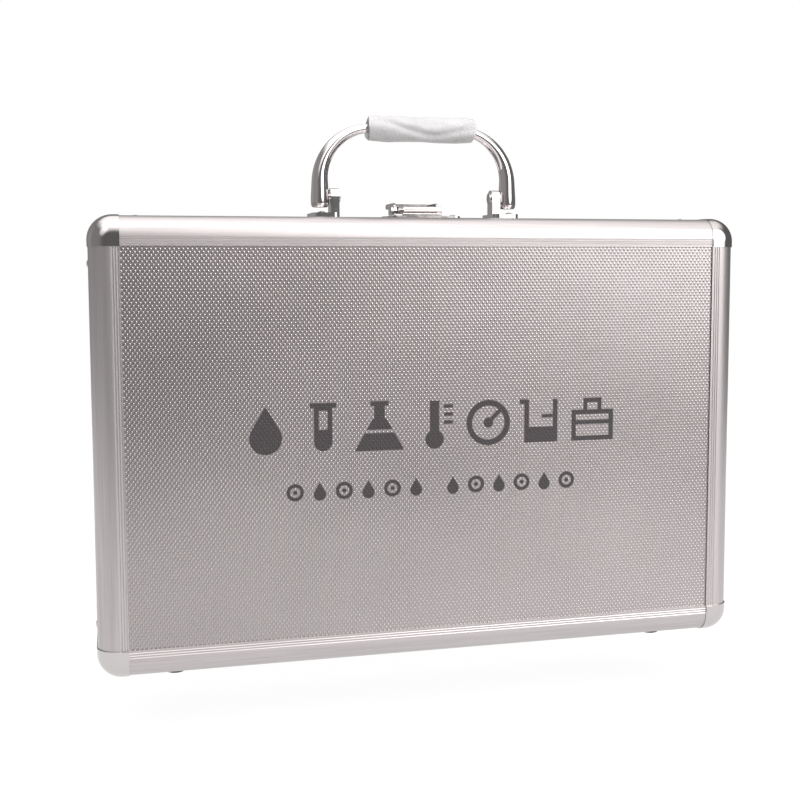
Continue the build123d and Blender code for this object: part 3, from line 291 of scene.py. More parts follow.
class Finish:
    """A material on the Principled shader, with short ways to add its nodes."""

    def __init__(self, name, **constants):
        self.material = bpy.data.materials.new(name)
        self.material.use_nodes = True
        self.tree = self.material.node_tree
        self.shader = self.tree.nodes["Principled BSDF"]
        self.material.diffuse_color = (*constants["Base_Color"], 1)
        for key, value in constants.items():
            socket = self.shader.inputs[key.replace("_", " ")]
            socket.default_value = (*value, 1) if key.endswith("Color") else value

    def coordinates(self, scale=(1, 1, 1), move=(0, 0, 0)):
        """Object coordinates through a Mapping node."""
        source = self.tree.nodes.new("ShaderNodeTexCoord")
        mapping = self.tree.nodes.new("ShaderNodeMapping")
        mapping.inputs["Scale"].default_value = scale
        mapping.inputs["Location"].default_value = move
        self.tree.links.new(source.outputs["Object"], mapping.inputs["Vector"])
        return mapping.outputs["Vector"]

    def parts(self, vector):
        """The X, Y and Z of a vector as signals."""
        split = self.tree.nodes.new("ShaderNodeSeparateXYZ")
        self.tree.links.new(vector, split.inputs[0])
        return [Signal(self.tree, socket) for socket in split.outputs]

    def texture(self, kind, scale, output, **inputs):
        """One texture in the object's own space; scale is one number, or three for X, Y and Z."""
        vector = self.coordinates(scale if isinstance(scale, (tuple, list)) else (scale,) * 3)
        node = self.tree.nodes.new(kind)
        for name, value in {"Scale": 1.0, **inputs}.items():
            node.inputs[name].default_value = value
        self.tree.links.new(vector, node.inputs["Vector"])
        return Signal(self.tree, node.outputs[output])

    def noise(self, scale, detail=3.0, rough=0.55):
        """A noise texture's factor."""
        return self.texture("ShaderNodeTexNoise", scale, "Fac", Detail=detail, Roughness=rough)

    def cells(self, scale):
        """The distance field of a Voronoi texture, for foam cells."""
        return self.texture("ShaderNodeTexVoronoi", scale, "Distance")

    def fit(self, signal, low, high, to_low, to_high, smooth=False):
        """Maps one range of a signal onto another, clamped."""
        node = self.tree.nodes.new("ShaderNodeMapRange")
        node.interpolation_type = "SMOOTHSTEP" if smooth else "LINEAR"
        for name, value in zip(("From Min", "From Max", "To Min", "To Max"), (low, high, to_low, to_high)):
            node.inputs[name].default_value = value
        self.tree.links.new(signal.socket, node.inputs["Value"])
        return Signal(self.tree, node.outputs["Result"])

    def ramp(self, signal, stops, steps=False):
        """A colour ramp; stops are (position, colour)."""
        node = self.tree.nodes.new("ShaderNodeValToRGB")
        node.color_ramp.interpolation = "CONSTANT" if steps else "LINEAR"
        while len(node.color_ramp.elements) < len(stops):
            node.color_ramp.elements.new(0.5)
        for element, (position, colour) in zip(node.color_ramp.elements, stops):
            element.position = position
            element.color = (*colour, 1)
        self.tree.links.new(signal.socket, node.inputs["Fac"])
        return node.outputs["Color"]

    def mix(self, signal, first, second):
        """Mixes two colours, each a colour or a socket."""
        node = self.tree.nodes.new("ShaderNodeMix")
        node.data_type = "RGBA"
        self.tree.links.new(signal.socket, node.inputs["Factor"])
        for name, value in (("A", first), ("B", second)):
            socket = next(item for item in node.inputs if item.name == name and item.type == "RGBA")
            if isinstance(value, bpy.types.NodeSocket):
                self.tree.links.new(value, socket)
            else:
                socket.default_value = (*value, 1)
        return next(item for item in node.outputs if item.type == "RGBA")

    def bump(self, signal, depth, under=None):
        """A Bump node with its depth in millimetres, over another bump if one is given."""
        node = self.tree.nodes.new("ShaderNodeBump")
        node.inputs["Strength"].default_value = 1.0
        node.inputs["Distance"].default_value = depth * MM
        self.tree.links.new(signal.socket, node.inputs["Height"])
        if under is not None:
            self.tree.links.new(under, node.inputs["Normal"])
        return node.outputs["Normal"]

    def use(self, name, value):
        """Links a signal or socket to one of the shader's inputs."""
        socket = value.socket if isinstance(value, Signal) else value
        self.tree.links.new(socket, self.shader.inputs[name])

    def tone(self, signal, low, high, dark, light):
        """Lets the base colour follow a signal, from a dark colour at low to a light one at high."""
        self.use("Base Color", self.ramp(signal, [(low, dark), (high, light)]))


# ---- Metal finishes -----------------------------------------------------------------------------
def tinted(colour, factor):
    """A colour made lighter or darker."""
    return tuple(min(1.0, channel * factor) for channel in colour)


def brushed_aluminium(name, along, colour, roughness):
    """Anodised extrusion with fine streaks along one axis."""
    finish = Finish(name, Base_Color=tuple(colour), Metallic=1.0, Roughness=roughness)
    axis = "XYZ".index(along)
    fine_scale, broad_scale = [5200] * 3, [700] * 3
    fine_scale[axis], broad_scale[axis] = 40, 12
    fine = finish.noise(fine_scale, detail=2)
    broad = finish.noise(broad_scale)
    streaks = finish.fit(fine * 0.55 + broad * 0.45, 0.32, 0.68, 0.0, 1.0)
    finish.tone(streaks, 0, 1, tinted(colour, 0.86), tinted(colour, 1.08))
    finish.use("Roughness", finish.fit(streaks, 0, 1, roughness + 0.07, roughness - 0.05))
    finish.use("Normal", finish.bump(fine, 0.012))
    return finish.material


def chrome(name, colour, roughness):
    """Bright plating with faint waviness and handling marks."""
    finish = Finish(name, Base_Color=tuple(colour), Metallic=1.0, Roughness=roughness)
    marks = finish.noise(90, detail=6, rough=0.6)
    finish.use("Roughness", finish.fit(marks, 0.4, 0.75, roughness, roughness + 0.09))
    finish.use("Normal", finish.bump(finish.noise(160, detail=1), 0.05))
    return finish.material


def plain_steel():
    """Zinc-plated steel for rivets, pins and hinges."""
    finish = Finish("plated_steel", Base_Color=(0.56, 0.55, 0.54), Metallic=1.0, Roughness=0.28)
    grain = finish.noise(900, detail=4)
    finish.use("Roughness", finish.fit(grain, 0.3, 0.7, 0.2, 0.38))
    finish.tone(grain, 0.3, 0.7, (0.50, 0.49, 0.48), (0.62, 0.61, 0.60))
    finish.use("Normal", finish.bump(grain, 0.01))
    return finish.material


def box_field(across, up, middle, half):
    """Distance to a box in the plane, negative inside."""
    return (abs(across - middle[0]) - half[0]).math("MAXIMUM", abs(up - middle[1]) - half[1])


def disc_field(across, up, middle, radius):
    """Distance to a disc in the plane, negative inside."""
    a, b = across - middle[0], up - middle[1]
    return (a * a + b * b).math("SQRT") - radius


def join(*fields):
    """The union of several shapes."""
    result = fields[0]
    for field in fields[1:]:
        result = result.math("MINIMUM", field)
    return result


def cut(field, other):
    """One shape with another taken out."""
    return field.math("MAXIMUM", -other)


def drop_field(a, b, radius):
    """A water drop: a disc below, with two straight flanks that meet in a point."""
    rise = 1.94 * radius
    flank = abs(a) * 0.857 + (b - rise) * 0.516
    tip = flank.math("MAXIMUM", -(b - 0.516 * radius))
    return join(disc_field(a, b, (0, 0), radius), tip)


def pictograms(across, up):
    """The lid's printed row: drop, tube, flask, thermometer, gauge, beaker and case, in millimetres."""
    pitch, middle = 28.1, 7.4
    a = [across - (number - 3) * pitch for number in range(7)]
    b = up - middle
    tube = join(box_field(a[1], b, (0, 2), (4.6, 8.6)), disc_field(a[1], b, (0, -6.6), 4.6),
                box_field(a[1], b, (0, 11.2), (6.6, 1.3)))
    cone = (abs(a[2]) * 0.87 + b * 0.5 - 5.0).math("MAXIMUM", abs(b + 4) - 8)
    flask = join(cone, box_field(a[2], b, (0, 7), (2.7, 5)), box_field(a[2], b, (0, 11.4), (4.6, 1.2)))
    ticks = join(*[box_field(a[3], b, (7.2, height), (2.4, 0.9)) for height in (9, 5, 1)])
    thermometer = join(box_field(a[3], b, (0, 3), (2.4, 9)), disc_field(a[3], b, (0, -7.4), 4.8), ticks)
    rim = abs(disc_field(a[4], b, (0, 0), 10)) - 1.5
    needle = (abs(a[4] - b) * 0.707 - 1.1).math("MAXIMUM", abs(a[4] + b - 6) * 0.707 - 4.6)
    gauge = join(rim, needle, disc_field(a[4], b, (0, 0), 2.6))
    beaker = cut(box_field(a[5], b, (0, 0), (9, 11)), box_field(a[5], b, (0, 5), (6.4, 8)))
    beaker = join(beaker, box_field(a[5], b, (-9.5, 10), (2, 1.2)), box_field(a[5], b, (3.4, 2.5), (3, 0.9)))
    shell = cut(box_field(a[6], b, (0, -3), (11.5, 8)), box_field(a[6], b, (0, -3), (9, 5.5)))
    handle = cut(box_field(a[6], b, (0, 7), (5, 4)), box_field(a[6], b, (0, 6.4), (2.8, 2.2)))
    case = join(shell, handle, box_field(a[6], b, (0, -1.5), (10, 1.1)))
    return join(drop_field(a[0], b + 4, 8), cut(tube, box_field(a[1], b, (0, 4), (2.1, 4.6))),
                cut(flask, box_field(a[2], b, (0, -2.4), (20, 0.8))), thermometer, gauge, beaker, case)


def small_marks(across, up):
    """The lid's small row: drops and rings in turn, in two groups with a gap between them."""
    pitch, middle, gap, reach = 12.15, -23.6, 6.9, 76.5
    along = abs(across) - gap / 2
    b = up - middle
    a = along.math("MODULO", 2 * pitch)
    drops = drop_field(a - pitch / 2, b + 1.4, 3.1)
    rings = abs(disc_field(a - 1.5 * pitch, b, (0, 0), 3.4)) - 0.9
    dots = disc_field(a - 1.5 * pitch, b, (0, 0), 1.1)
    keep = (abs(across) - reach).math("MAXIMUM", -along)
    return join(drops, rings, dots).math("MAXIMUM", keep)


def dimpled_aluminium(name, case, printed):
    """Thin embossed sheet: staggered dimples, faint unevenness, painted shade in the hollows of the
    unevenness and on the flat between the dimples, and on the lid the printed marks.
    """
    colour = tuple(case.sheet_colour)
    finish = Finish(name, Base_Color=colour, Metallic=1.0)
    per_mm = finish.coordinates((1 / MM,) * 3, move=(0, 0, -panel_rect("lid")[1].z / MM))
    across, _, up = finish.parts(per_mm)
    columns = (across * (2 * pi / case.dimple_pitch)).math("COSINE")
    rows = (up * (pi / case.dimple_row)).math("COSINE")
    crests = finish.fit(columns * rows, 0.0, 1.0, 0.0, 1.0, smooth=True)
    slow = finish.noise((9, 9, 14), detail=2)
    fine = finish.noise(2500, detail=2)
    # Painted shade: the colour follows the slow noise that bumps the sheet into waves, darker in their
    # hollows and lighter on their crests; the fine noise adds random tone.
    shade = finish.fit(slow * 0.7 + fine * 0.3, 0.3, 0.7, 0.0, 1.0)
    metal = finish.ramp(shade, [(0.0, tinted(colour, 0.88)), (1.0, tinted(colour, 1.06))])
    # Painted shade: the flat ground between the raised dimples is mixed a little towards a darker colour.
    metal = finish.mix(finish.fit(crests, 0.0, 0.6, 0.12, 0.0), metal, tinted(colour, 0.5))
    roughness = finish.fit(crests, 0, 1, 0.31, 0.2)
    if printed:
        field = join(pictograms(across, up), small_marks(across, up)) + (fine - 0.5) * 0.5
        ink = finish.fit(field, -0.12, 0.12, 1.0, 0.0)
        worn = ink * finish.fit(fine, 0.2, 0.5, 0.86, 1.0)
        metal = finish.mix(worn, metal, tuple(case.ink_colour))
        finish.use("Metallic", finish.fit(ink, 0, 1, 1.0, 0.25))
        roughness = roughness + ink * 0.16
    finish.use("Base Color", metal)
    finish.use("Roughness", roughness)
    waves = finish.bump(slow, 0.5)
    finish.use("Normal", finish.bump(crests, case.dimple_height, under=waves))
    return finish.material


# ---- Soft and moulded finishes ------------------------------------------------------------------
def foam(name, colour, cell, depth):
    """Foam with a cell of the given size in millimetres, and painted shade in the cells' hollows."""
    finish = Finish(name, Base_Color=tuple(colour), Roughness=0.95, Specular_IOR_Level=0.25)
    cells = finish.cells(1 / (cell * MM))
    # Painted shade mixed with random tone: the colour follows the cell field that bumps the foam, darker in
    # the cells' hollows and lighter on their walls.
    cell_shade_and_tone = finish.fit(cells * 0.5 + finish.noise(60, detail=4) * 0.6, 0.25, 0.8, 0.0, 1.0)
    finish.tone(cell_shade_and_tone, 0, 1, tinted(colour, 0.6), tinted(colour, 1.5))
    finish.use("Normal", finish.bump(cells, depth))
    return finish.material


def packing_foam(colour):
    """Thin white packing foam: satin, a little translucent, with flat bubbles and painted shade in its
    creases.
    """
    finish = Finish("packing_foam", Base_Color=tuple(colour), Roughness=0.5, Subsurface_Weight=0.25,
                    Subsurface_Radius=(0.5, 0.5, 0.5), Subsurface_Scale=0.004, Sheen_Weight=0.15)
    bubbles = finish.cells((900, 650, 650))
    creases = finish.noise(120)
    # Painted shade: the colour follows the crease bump, darker in the creases and lighter on the folds
    # between them.
    finish.tone(creases, 0.3, 0.7, tinted(colour, 0.93), tinted(colour, 1.04))
    finish.use("Normal", finish.bump(bubbles, 0.14, under=finish.bump(creases, 0.5)))
    return finish.material


def moulded(name, colour, roughness=0.3, grain=0.012, **constants):
    """Moulded plastic with a faint texture."""
    finish = Finish(name, Base_Color=tuple(colour), Roughness=roughness, **constants)
    marks = finish.noise(70, detail=5)
    finish.use("Roughness", finish.fit(marks, 0.35, 0.75, roughness, roughness + 0.14))
    finish.tone(marks, 0.3, 0.7, tinted(colour, 0.95), tinted(colour, 1.04))
    finish.use("Normal", finish.bump(finish.noise(1800), grain))
    return finish.material


def lining_cloth():
    """Black non-woven lining glued over board."""
    finish = Finish("lining_cloth", Base_Color=(0.02, 0.02, 0.022), Roughness=0.9, Sheen_Weight=0.4,
                    Sheen_Roughness=0.5)
    fibres = finish.noise(1400, detail=5, rough=0.7)
    finish.tone(fibres, 0.3, 0.7, (0.010, 0.010, 0.012), (0.045, 0.045, 0.05))
    finish.use("Normal", finish.bump(fibres, 0.08))
    return finish.material


def hardboard():
    """Brown pressed board behind the panels."""
    finish = Finish("hardboard", Base_Color=(0.20, 0.12, 0.07), Roughness=0.75)
    fibres = finish.noise((600, 1200, 500), detail=6, rough=0.7)
    finish.tone(fibres, 0.3, 0.7, (0.13, 0.075, 0.04), (0.27, 0.17, 0.10))
    finish.use("Normal", finish.bump(fibres, 0.05))
    return finish.material


def clear_plastic(name, colour, roughness=0.03, ior=1.49):
    """Clear moulding with faint flow marks."""
    finish = Finish(name, Base_Color=tuple(colour), Roughness=roughness, Transmission_Weight=1.0, IOR=ior)
    flow = finish.noise((60, 60, 25), detail=2)
    finish.use("Roughness", finish.fit(flow, 0.3, 0.7, roughness, roughness + 0.05))
    finish.use("Normal", finish.bump(flow, 0.04))
    return finish.material


PAPER = (0.88, 0.88, 0.86)


def colour_steps(name, axis, node, colours):
    """Printed patches of colour with pale gaps, along one axis of a CAD node."""
    finish = Finish(name, Base_Color=PAPER, Roughness=0.35)
    number = "XYZ".index(axis)
    low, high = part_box(node)
    along = finish.fit(finish.parts(finish.coordinates())[number], low[number], high[number], 0.0, 1.0)
    gap, stops = 0.12, []
    for count, colour in enumerate(colours):
        stops += [(count, PAPER), (count + gap, colour), (count + 1 - gap, PAPER)]
    stops = [(start / len(colours), colour) for start, colour in stops]
    finish.use("Base Color", finish.ramp(along, stops, steps=True))
    finish.use("Normal", finish.bump(finish.noise(900), 0.01))
    return finish.material


# ---- The case -----------------------------------------------------------------------------------
def panel_rect(half):
    """Low corner, middle and high corner of what shows of a panel between its rails."""
    left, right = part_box(f"{half}_rail_left"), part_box(f"{half}_rail_right")
    top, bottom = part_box(f"{half}_rail_top"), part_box(f"{half}_rail_bottom")
    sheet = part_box(f"{half}_panel")
    low = Vector((left[1].x, sheet[0].y, bottom[1].z))
    high = Vector((right[0].x, sheet[1].y, top[0].z))
    return low, (low + high) / 2, high


def dimpled_sheet(half, case, material):
    """The embossed sheet, with a vertex on every crest and in every hollow."""
    low, middle, high = panel_rect(half)
    outward = HALVES[half]
    pitch, row, height = case.dimple_pitch * MM, case.dimple_row * MM, case.dimple_relief * MM
    columns = 2 * int((high.x - low.x) / pitch + 1)
    rows = 2 * int((high.z - low.z) / row + 1)
    front, back = (high.y, low.y) if outward > 0 else (low.y, high.y)

    def rise(x, z):
        """A round dimple on every crest of the two waves."""
        return outward * height * max(0.0, cos(2 * pi * x / pitch) * cos(pi * z / row))

    return make_slab(f"{half}_dimpled_sheet", material, 80, middle, (columns * pitch / 2, rows * row / 2),
                     (columns, rows), front - outward * (height + SHEET_SETBACK), back, rise)


class KIT_OT_case(bpy.types.Operator):
    """Finish the rails, corner caps, panels, boards, linings, rivets and feet"""

    bl_idname = "kit.case"
    bl_label = "Case"

    def execute(self, context):
        case = settings().case
        sideways = brushed_aluminium("rail_brushed_sideways", "X", case.rail_colour, 0.38)
        upright = brushed_aluminium("rail_brushed_upright", "Z", case.rail_colour, 0.38)
        bright = chrome("corner_chrome", case.cap_colour, 0.10)
        steel, cloth, board = plain_steel(), lining_cloth(), hardboard()
        rubber = moulded("foot_rubber", (0.02, 0.02, 0.02), 0.6, 0.05)
        for half in HALVES:
            paint(sideways, f"{half}_rail_top", f"{half}_rail_bottom")
            paint(upright, f"{half}_rail_left", f"{half}_rail_right")
            paint(bright, *[f"{half}_corner_{z}_{x}" for z in ("top", "bottom") for x in ("left", "right")])
            paint(steel, f"{half}_rivets", f"hinge_leaves_{half}")
            paint(cloth, f"{half}_lining")
            paint(board, f"{half}_board")
            paint(rubber, f"{half}_feet")
            sheet_finish = dimpled_aluminium(f"{half}_embossed_sheet", case, printed=half == "lid")
            sheet = dimpled_sheet(half, case, sheet_finish)
            place(sheet, half, "dimpled_aluminium", f"{half}_panel")
        paint(steel, "hinge_pins")
        return {"FINISHED"}


# ---- The handle ---------------------------------------------------------------------------------
FOOT_BELOW_PIVOT = 5.4 * MM
FOOT_ROUNDING = 2.4 * MM


class Arm:
    """The bail's right arm: a line that rises from its pivot and bends round to the bar."""

    def __init__(self, handle):
        self.pivot = Vector(JOINTS["handle_pivot"]["pos_m"])
        self.foot, self.tip = handle.foot_width * MM / 2, handle.tip_width * MM / 2
        self.bend = handle.bend * MM
        self.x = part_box("handle_bail")[1].x - self.foot
        bar = span("handle_grip")[1].z
        self.centre = Vector((self.x - self.bend, self.pivot.y, bar - self.bend))
        self.straight = self.centre.z - self.pivot.z
        self.length = self.straight + self.bend * pi / 2

    def point(self, distance, angle, swell):
        """A point of the oval section at a distance above the pivot, with soft ridges front and rear."""
        middle, out = Vector((self.x, self.pivot.y, self.pivot.z + distance)), Vector((1, 0, 0))
        if distance >= self.straight:
            turn = (distance - self.straight) / self.bend
            out = Vector((cos(turn), 0, sin(turn)))
            middle = self.centre + out * self.bend
        share = max(0.0, distance / self.length)
        half = self.foot + (self.tip - self.foot) * share ** 0.9
        deep = 0.80 * half * (1 + 0.16 * bell(abs(sin(angle)) - 1, 0.18))
        return middle + (out * half * cos(angle) + Vector((0, deep * sin(angle), 0))) * swell


class KIT_OT_handle(bpy.types.Operator):
    """Model the tapering chromed bail and the packing foam round its grip"""

    bl_idname = "kit.handle"
    bl_label = "Handle"

    def execute(self, context):
        handle = settings().handle
        bright = chrome("handle_chrome", handle.chrome_colour, 0.06)
        paint(bright, "handle_foot_left", "handle_foot_right")
        paint(plain_steel(), "handle_pin_left", "handle_pin_right")
        paint(moulded("grip_black", (0.02, 0.02, 0.022), 0.35), "handle_grip")
        place(self.bail(handle, bright), "handle", "chrome", "handle_bail")
        wrap = place(self.wrap(packing_foam(handle.wrap_colour)), "handle", "wrap_foam", "grip_wrap")
        return {"FINISHED"}

    def bail(self, handle, material):
        """Two tapering arms with rounded feet, swept round to the bar between them."""
        arm = Arm(handle)
        foot = -FOOT_BELOW_PIVOT
        rings = [(foot, 0.80), (foot + 0.35 * FOOT_ROUNDING, 0.95), (foot + FOOT_ROUNDING, 1.0)]
        rest = arm.length - rings[-1][0]
        rings += [(arm.length - rest * (1 - n / handle.stations), 1.0) for n in range(1, handle.stations + 1)]
        bm = bmesh.new()
        (distance, swell), *others = rings
        ring = add_circle(bm, 36, swell, Matrix.Translation((0, 0, distance)))
        for distance, swell in others:
            ring = extend_ring(bm, ring, lambda co: Vector((*(co.xy.normalized() * swell), distance)))
        for vert in bm.verts:
            vert.co = arm.point(vert.co.z, atan2(vert.co.y, vert.co.x), vert.co.xy.length)
        extend_ring(bm, ring, lambda co: Vector((0, co.y, co.z)))
        bmesh.ops.remove_doubles(bm, verts=bm.verts, dist=1e-7)
        bmesh.ops.mirror(bm, geom=bm.verts[:] + bm.edges[:] + bm.faces[:], axis="X", merge_dist=1e-6)
        close_ends(bm)
        return make_piece("chromed_bail", bm, material, sharp_angle=50)

    def fold_angle(self, along):
        """Where the wrap's lapped edge lies round the grip: it sinks from the left, then rises again."""
        sink = min(1.0, along / 0.6)
        rise = max(0.0, (along - 0.6) / 0.4)
        return 0.66 - 1.2 * (3 * sink ** 2 - 2 * sink ** 3) + 0.62 * (3 * rise ** 2 - 2 * rise ** 3)

    def wrap_reach(self, along, angle, across, up):
        """How far out the wrap's face lies, as a share of its greatest radius."""
        off_fold = angle - self.fold_angle(along)
        crease = 0.085 * bell(along - 0.52, 0.36, 4) * bell(off_fold, 0.24)
        lips = 0.05 * bell(off_fold - 0.42, 0.26) + 0.03 * bell(off_fold + 0.5, 0.3)
        dents = 0.07 * noise.noise(Vector((along * 5.0, across * 200, up * 200 + 3)))
        ends = 0.05 * (exp(-along / 0.03) + exp(-(1 - along) / 0.03))
        return min(1.0, 0.93 + lips - crease + dents - ends)

    def wrap(self, material):
        """Packing foam rolled round the grip, with a lapped edge that runs slantwise and soft dents."""
        low, middle, high = span("grip_wrap")
        length = high.x - low.x
        steps, spokes = 110, 128
        bm = bmesh.new()
        upright = Matrix.Translation((low.x, middle.y, middle.z)) @ Matrix.Rotation(radians(90), 4, "Y")
        ring = add_circle(bm, spokes, high.z - middle.z, upright)
        for _ in range(steps):
            ring = extend_ring(bm, ring, lambda co: co + Vector((length / steps, 0, 0)))
        for vert in bm.verts:
            along = (vert.co.x - low.x) / length
            across, up = vert.co.y - middle.y, vert.co.z - middle.z
            angle = Vector((-across, up)).angle_signed(Vector((1, 0)), 0.0)
            reach = self.wrap_reach(along, angle, across, up)
            ragged = MM * sin(angle * 2 + 1.0) * (along - 0.5)
            vert.co = Vector((vert.co.x + ragged, middle.y + across * reach, middle.z + up * reach))
        for side in (-1, 1):
            rim = [edge for edge in open_rim(bm) if (edge.verts[0].co.x - middle.x) * side > 0]
            centre = sum((vert.co for edge in rim for vert in edge.verts), Vector()) / (2 * len(rim))
            inner = extend_ring(bm, rim, lambda co: centre.lerp(co, 0.82))
            hollow = Vector((-side * 1.4 * MM, 0, 0))
            extend_ring(bm, inner, lambda co: centre.lerp(co, 0.9) + hollow)
        close_ends(bm)
        return make_piece("packing_foam_wrap", bm, material, sharp_angle=60)


# ---- The latch ----------------------------------------------------------------------------------
class KIT_OT_latch(bpy.types.Operator):
    """Finish the draw latch"""

    bl_idname = "kit.latch"
    bl_label = "Latch"

    def execute(self, context):
        bright = chrome("latch_chrome", settings().handle.chrome_colour, 0.08)
        paint(bright, "latch_keeper", "latch_plate", "latch_lever", "latch_claw")
        paint(plain_steel(), "latch_lever_pin", "latch_claw_pin")
        return {"FINISHED"}


# ---- The foam -----------------------------------------------------------------------------------
class KIT_OT_foam(bpy.types.Operator):
    """Model the egg-crate pad in the lid and finish the foam tray"""

    bl_idname = "kit.foam"
    bl_label = "Foam"

    def execute(self, context):
        contents = settings().contents
        paint(foam("tray_foam", contents.foam_colour, cell=0.9, depth=0.12), "foam_tray")
        pad = self.egg_crate(contents, foam("lid_foam", (0.030, 0.030, 0.034), cell=1.1, depth=0.3))
        place(pad, "lid", "lid_foam", "lid_foam")
        return {"FINISHED"}

    def egg_crate(self, contents, material):
        """A pad whose inner face rises and falls both ways."""
        low, middle, high = span("lid_foam")
        size = Vector((high.x - low.x, high.z - low.z))
        pitch, height = contents.crate_pitch * MM, contents.crate_height * MM
        steps = [int(length / pitch * 7) for length in size]

        def rise(x, z):
            """Crests and hollows by turns."""
            return height * sin(2 * pi * x / pitch) * sin(2 * pi * z / pitch)

        return make_slab("egg_crate_pad", material, 60, middle, size, steps, high.y - height, low.y, rise)


# ---- The contents -------------------------------------------------------------------------------
BOTTLE_COLOURS = {"red": (0.45, 0.012, 0.010), "yellow": (0.75, 0.42, 0.01), "blue": (0.01, 0.06, 0.38)}
NECK_RADIUS = 6.4
CAP_BORE = 6.56


class KIT_OT_bottles(bpy.types.Operator):
    """Model the reagent bottles, their labels and their ribbed caps"""

    bl_idname = "kit.bottles"
    bl_label = "Reagent bottles"

    def execute(self, context):
        contents = settings().contents
        plastic = moulded("bottle_plastic", contents.bottle_colour, 0.38, Subsurface_Weight=0.3,
                          Subsurface_Radius=(0.5, 0.5, 0.5), Subsurface_Scale=0.006)
        for number, (name, colour) in enumerate(BOTTLE_COLOURS.items(), start=1):
            low, middle, high = span(f"reagent_bottle_{number}")
            centre = Vector((middle.x, middle.y, low.z))
            r, height = (high.x - low.x) / 2 / MM, (high.z - low.z) / MM
            bottle = make_piece(f"squeeze_bottle_{number}", self.bottle(centre, r - 0.05, height), plastic)
            place(bottle, "base", "bottle_plastic", f"reagent_bottle_{number}")
            self.label(number, colour, centre, r)
            cap_finish = moulded(f"bottle_cap_{number}_plastic", colour, 0.3)
            cap = self.cap(f"reagent_cap_{number}", contents.cap_ribs)
            cap = make_piece(f"ribbed_cap_{number}", cap, cap_finish, sharp_angle=50)
            place(cap, f"reagent_cap_{number}", f"bottle_cap_{name}", f"reagent_cap_{number}")
        return {"FINISHED"}

    def bottle(self, centre, r, height):
        """A squeeze bottle with a rolled foot, a round shoulder and a dropper tip, in millimetres."""
        shoulder = height - 18
        inset = 0.35
        profile = [(0, 1.2), (r * 0.72, 1.0), (r * 0.8, 0), (r - 1.4, 0), (r - 0.4, 0.5), (r, 1.6), (r, 5),
                   (r - inset, 5.6), (r - inset, shoulder - 12), (r, shoulder - 11.4)]
        start, steps = 7.6, 8
        for step in range(steps + 1):
            turn = pi / 2 * step / steps
            profile.append((start + (r - start) * cos(turn), shoulder - 7 + 6 * sin(turn)))
        profile += [(NECK_RADIUS, shoulder), (NECK_RADIUS, shoulder + 9), (3.2, shoulder + 10), (1.6, height),
                    (0, height)]
        bm = bmesh.new()
        add_lathe(bm, profile, centre, steps=72)
        return bm

    def label(self, number, colour, centre, r):
        """A paper label round the front of the bottle, with a band of the cap's colour and plain rules."""
        low, high, sweep = 10, 44, radians(250)
        inner, outer = r - 0.36, r - 0.02
        bm = bmesh.new()
        corners = ((inner, low), (outer, low), (outer, high), (inner, high))
        verts = [bm.verts.new(centre + Vector((0, -radius, level)) * MM) for radius, level in corners]
        edges = [bm.edges.new(pair) for pair in zip(verts, verts[1:] + verts[:1])]
        bmesh.ops.rotate(bm, cent=centre, matrix=Matrix.Rotation(-sweep / 2, 3, "Z"), verts=verts)
        spin(bm, verts + edges, centre, sweep, steps=60)
        close_ends(bm)
        finish = Finish(f"bottle_label_{number}", Base_Color=PAPER, Roughness=0.4)
        _, _, level = finish.parts(finish.coordinates(move=(0, 0, -centre.z - low * MM)))
        rows = finish.fit(level, 0.0, (high - low) * MM, 0.0, 1.0)
        ink = (0.10, 0.10, 0.11)
        stops = [(0.0, PAPER)]
        for rule in (0.10, 0.19, 0.28):
            stops += [(rule, ink), (rule + 0.03, PAPER)]
        stops += [(0.52, colour), (0.80, PAPER), (0.90, colour), (0.96, PAPER)]
        finish.use("Base Color", finish.ramp(rows, stops, steps=True))
        finish.use("Normal", finish.bump(finish.noise(1200), 0.01))
        place(make_piece(f"bottle_label_{number}", bm, finish.material), "base", "bottle_plastic")

    def cap(self, node, ribs):
        """A screw cap with upright ribs and a tapered top, in millimetres."""
        low, middle, high = span(node)
        centre = Vector((middle.x, middle.y, low.z))
        r, height = (high.x - low.x) / 2 / MM, (high.z - low.z) / MM
        profile = [(0, 3), (CAP_BORE, 3), (CAP_BORE, 0), (r - 0.6, 0), (r, 0.8), (r, height * 0.5),
                   (r - 0.7, height * 0.54), (r * 0.66, height * 0.93), (r * 0.58, height * 0.985),
                   (r * 0.45, height), (0, height)]
        bm = bmesh.new()
        add_lathe(bm, profile, centre, steps=ribs * 4)
        for vert in bm.verts:
            offset = (vert.co - centre) / MM
            if offset.xy.length > r * 0.97 and 0.6 < offset.z < height * 0.52:
                phase = offset.xy.angle_signed(Vector((1, 0)), 0.0) * ribs
                factor = 1 - 0.045 * (0.5 + 0.5 * cos(phase))
                vert.co.xy = centre.xy + offset.xy * factor * MM
        return bm


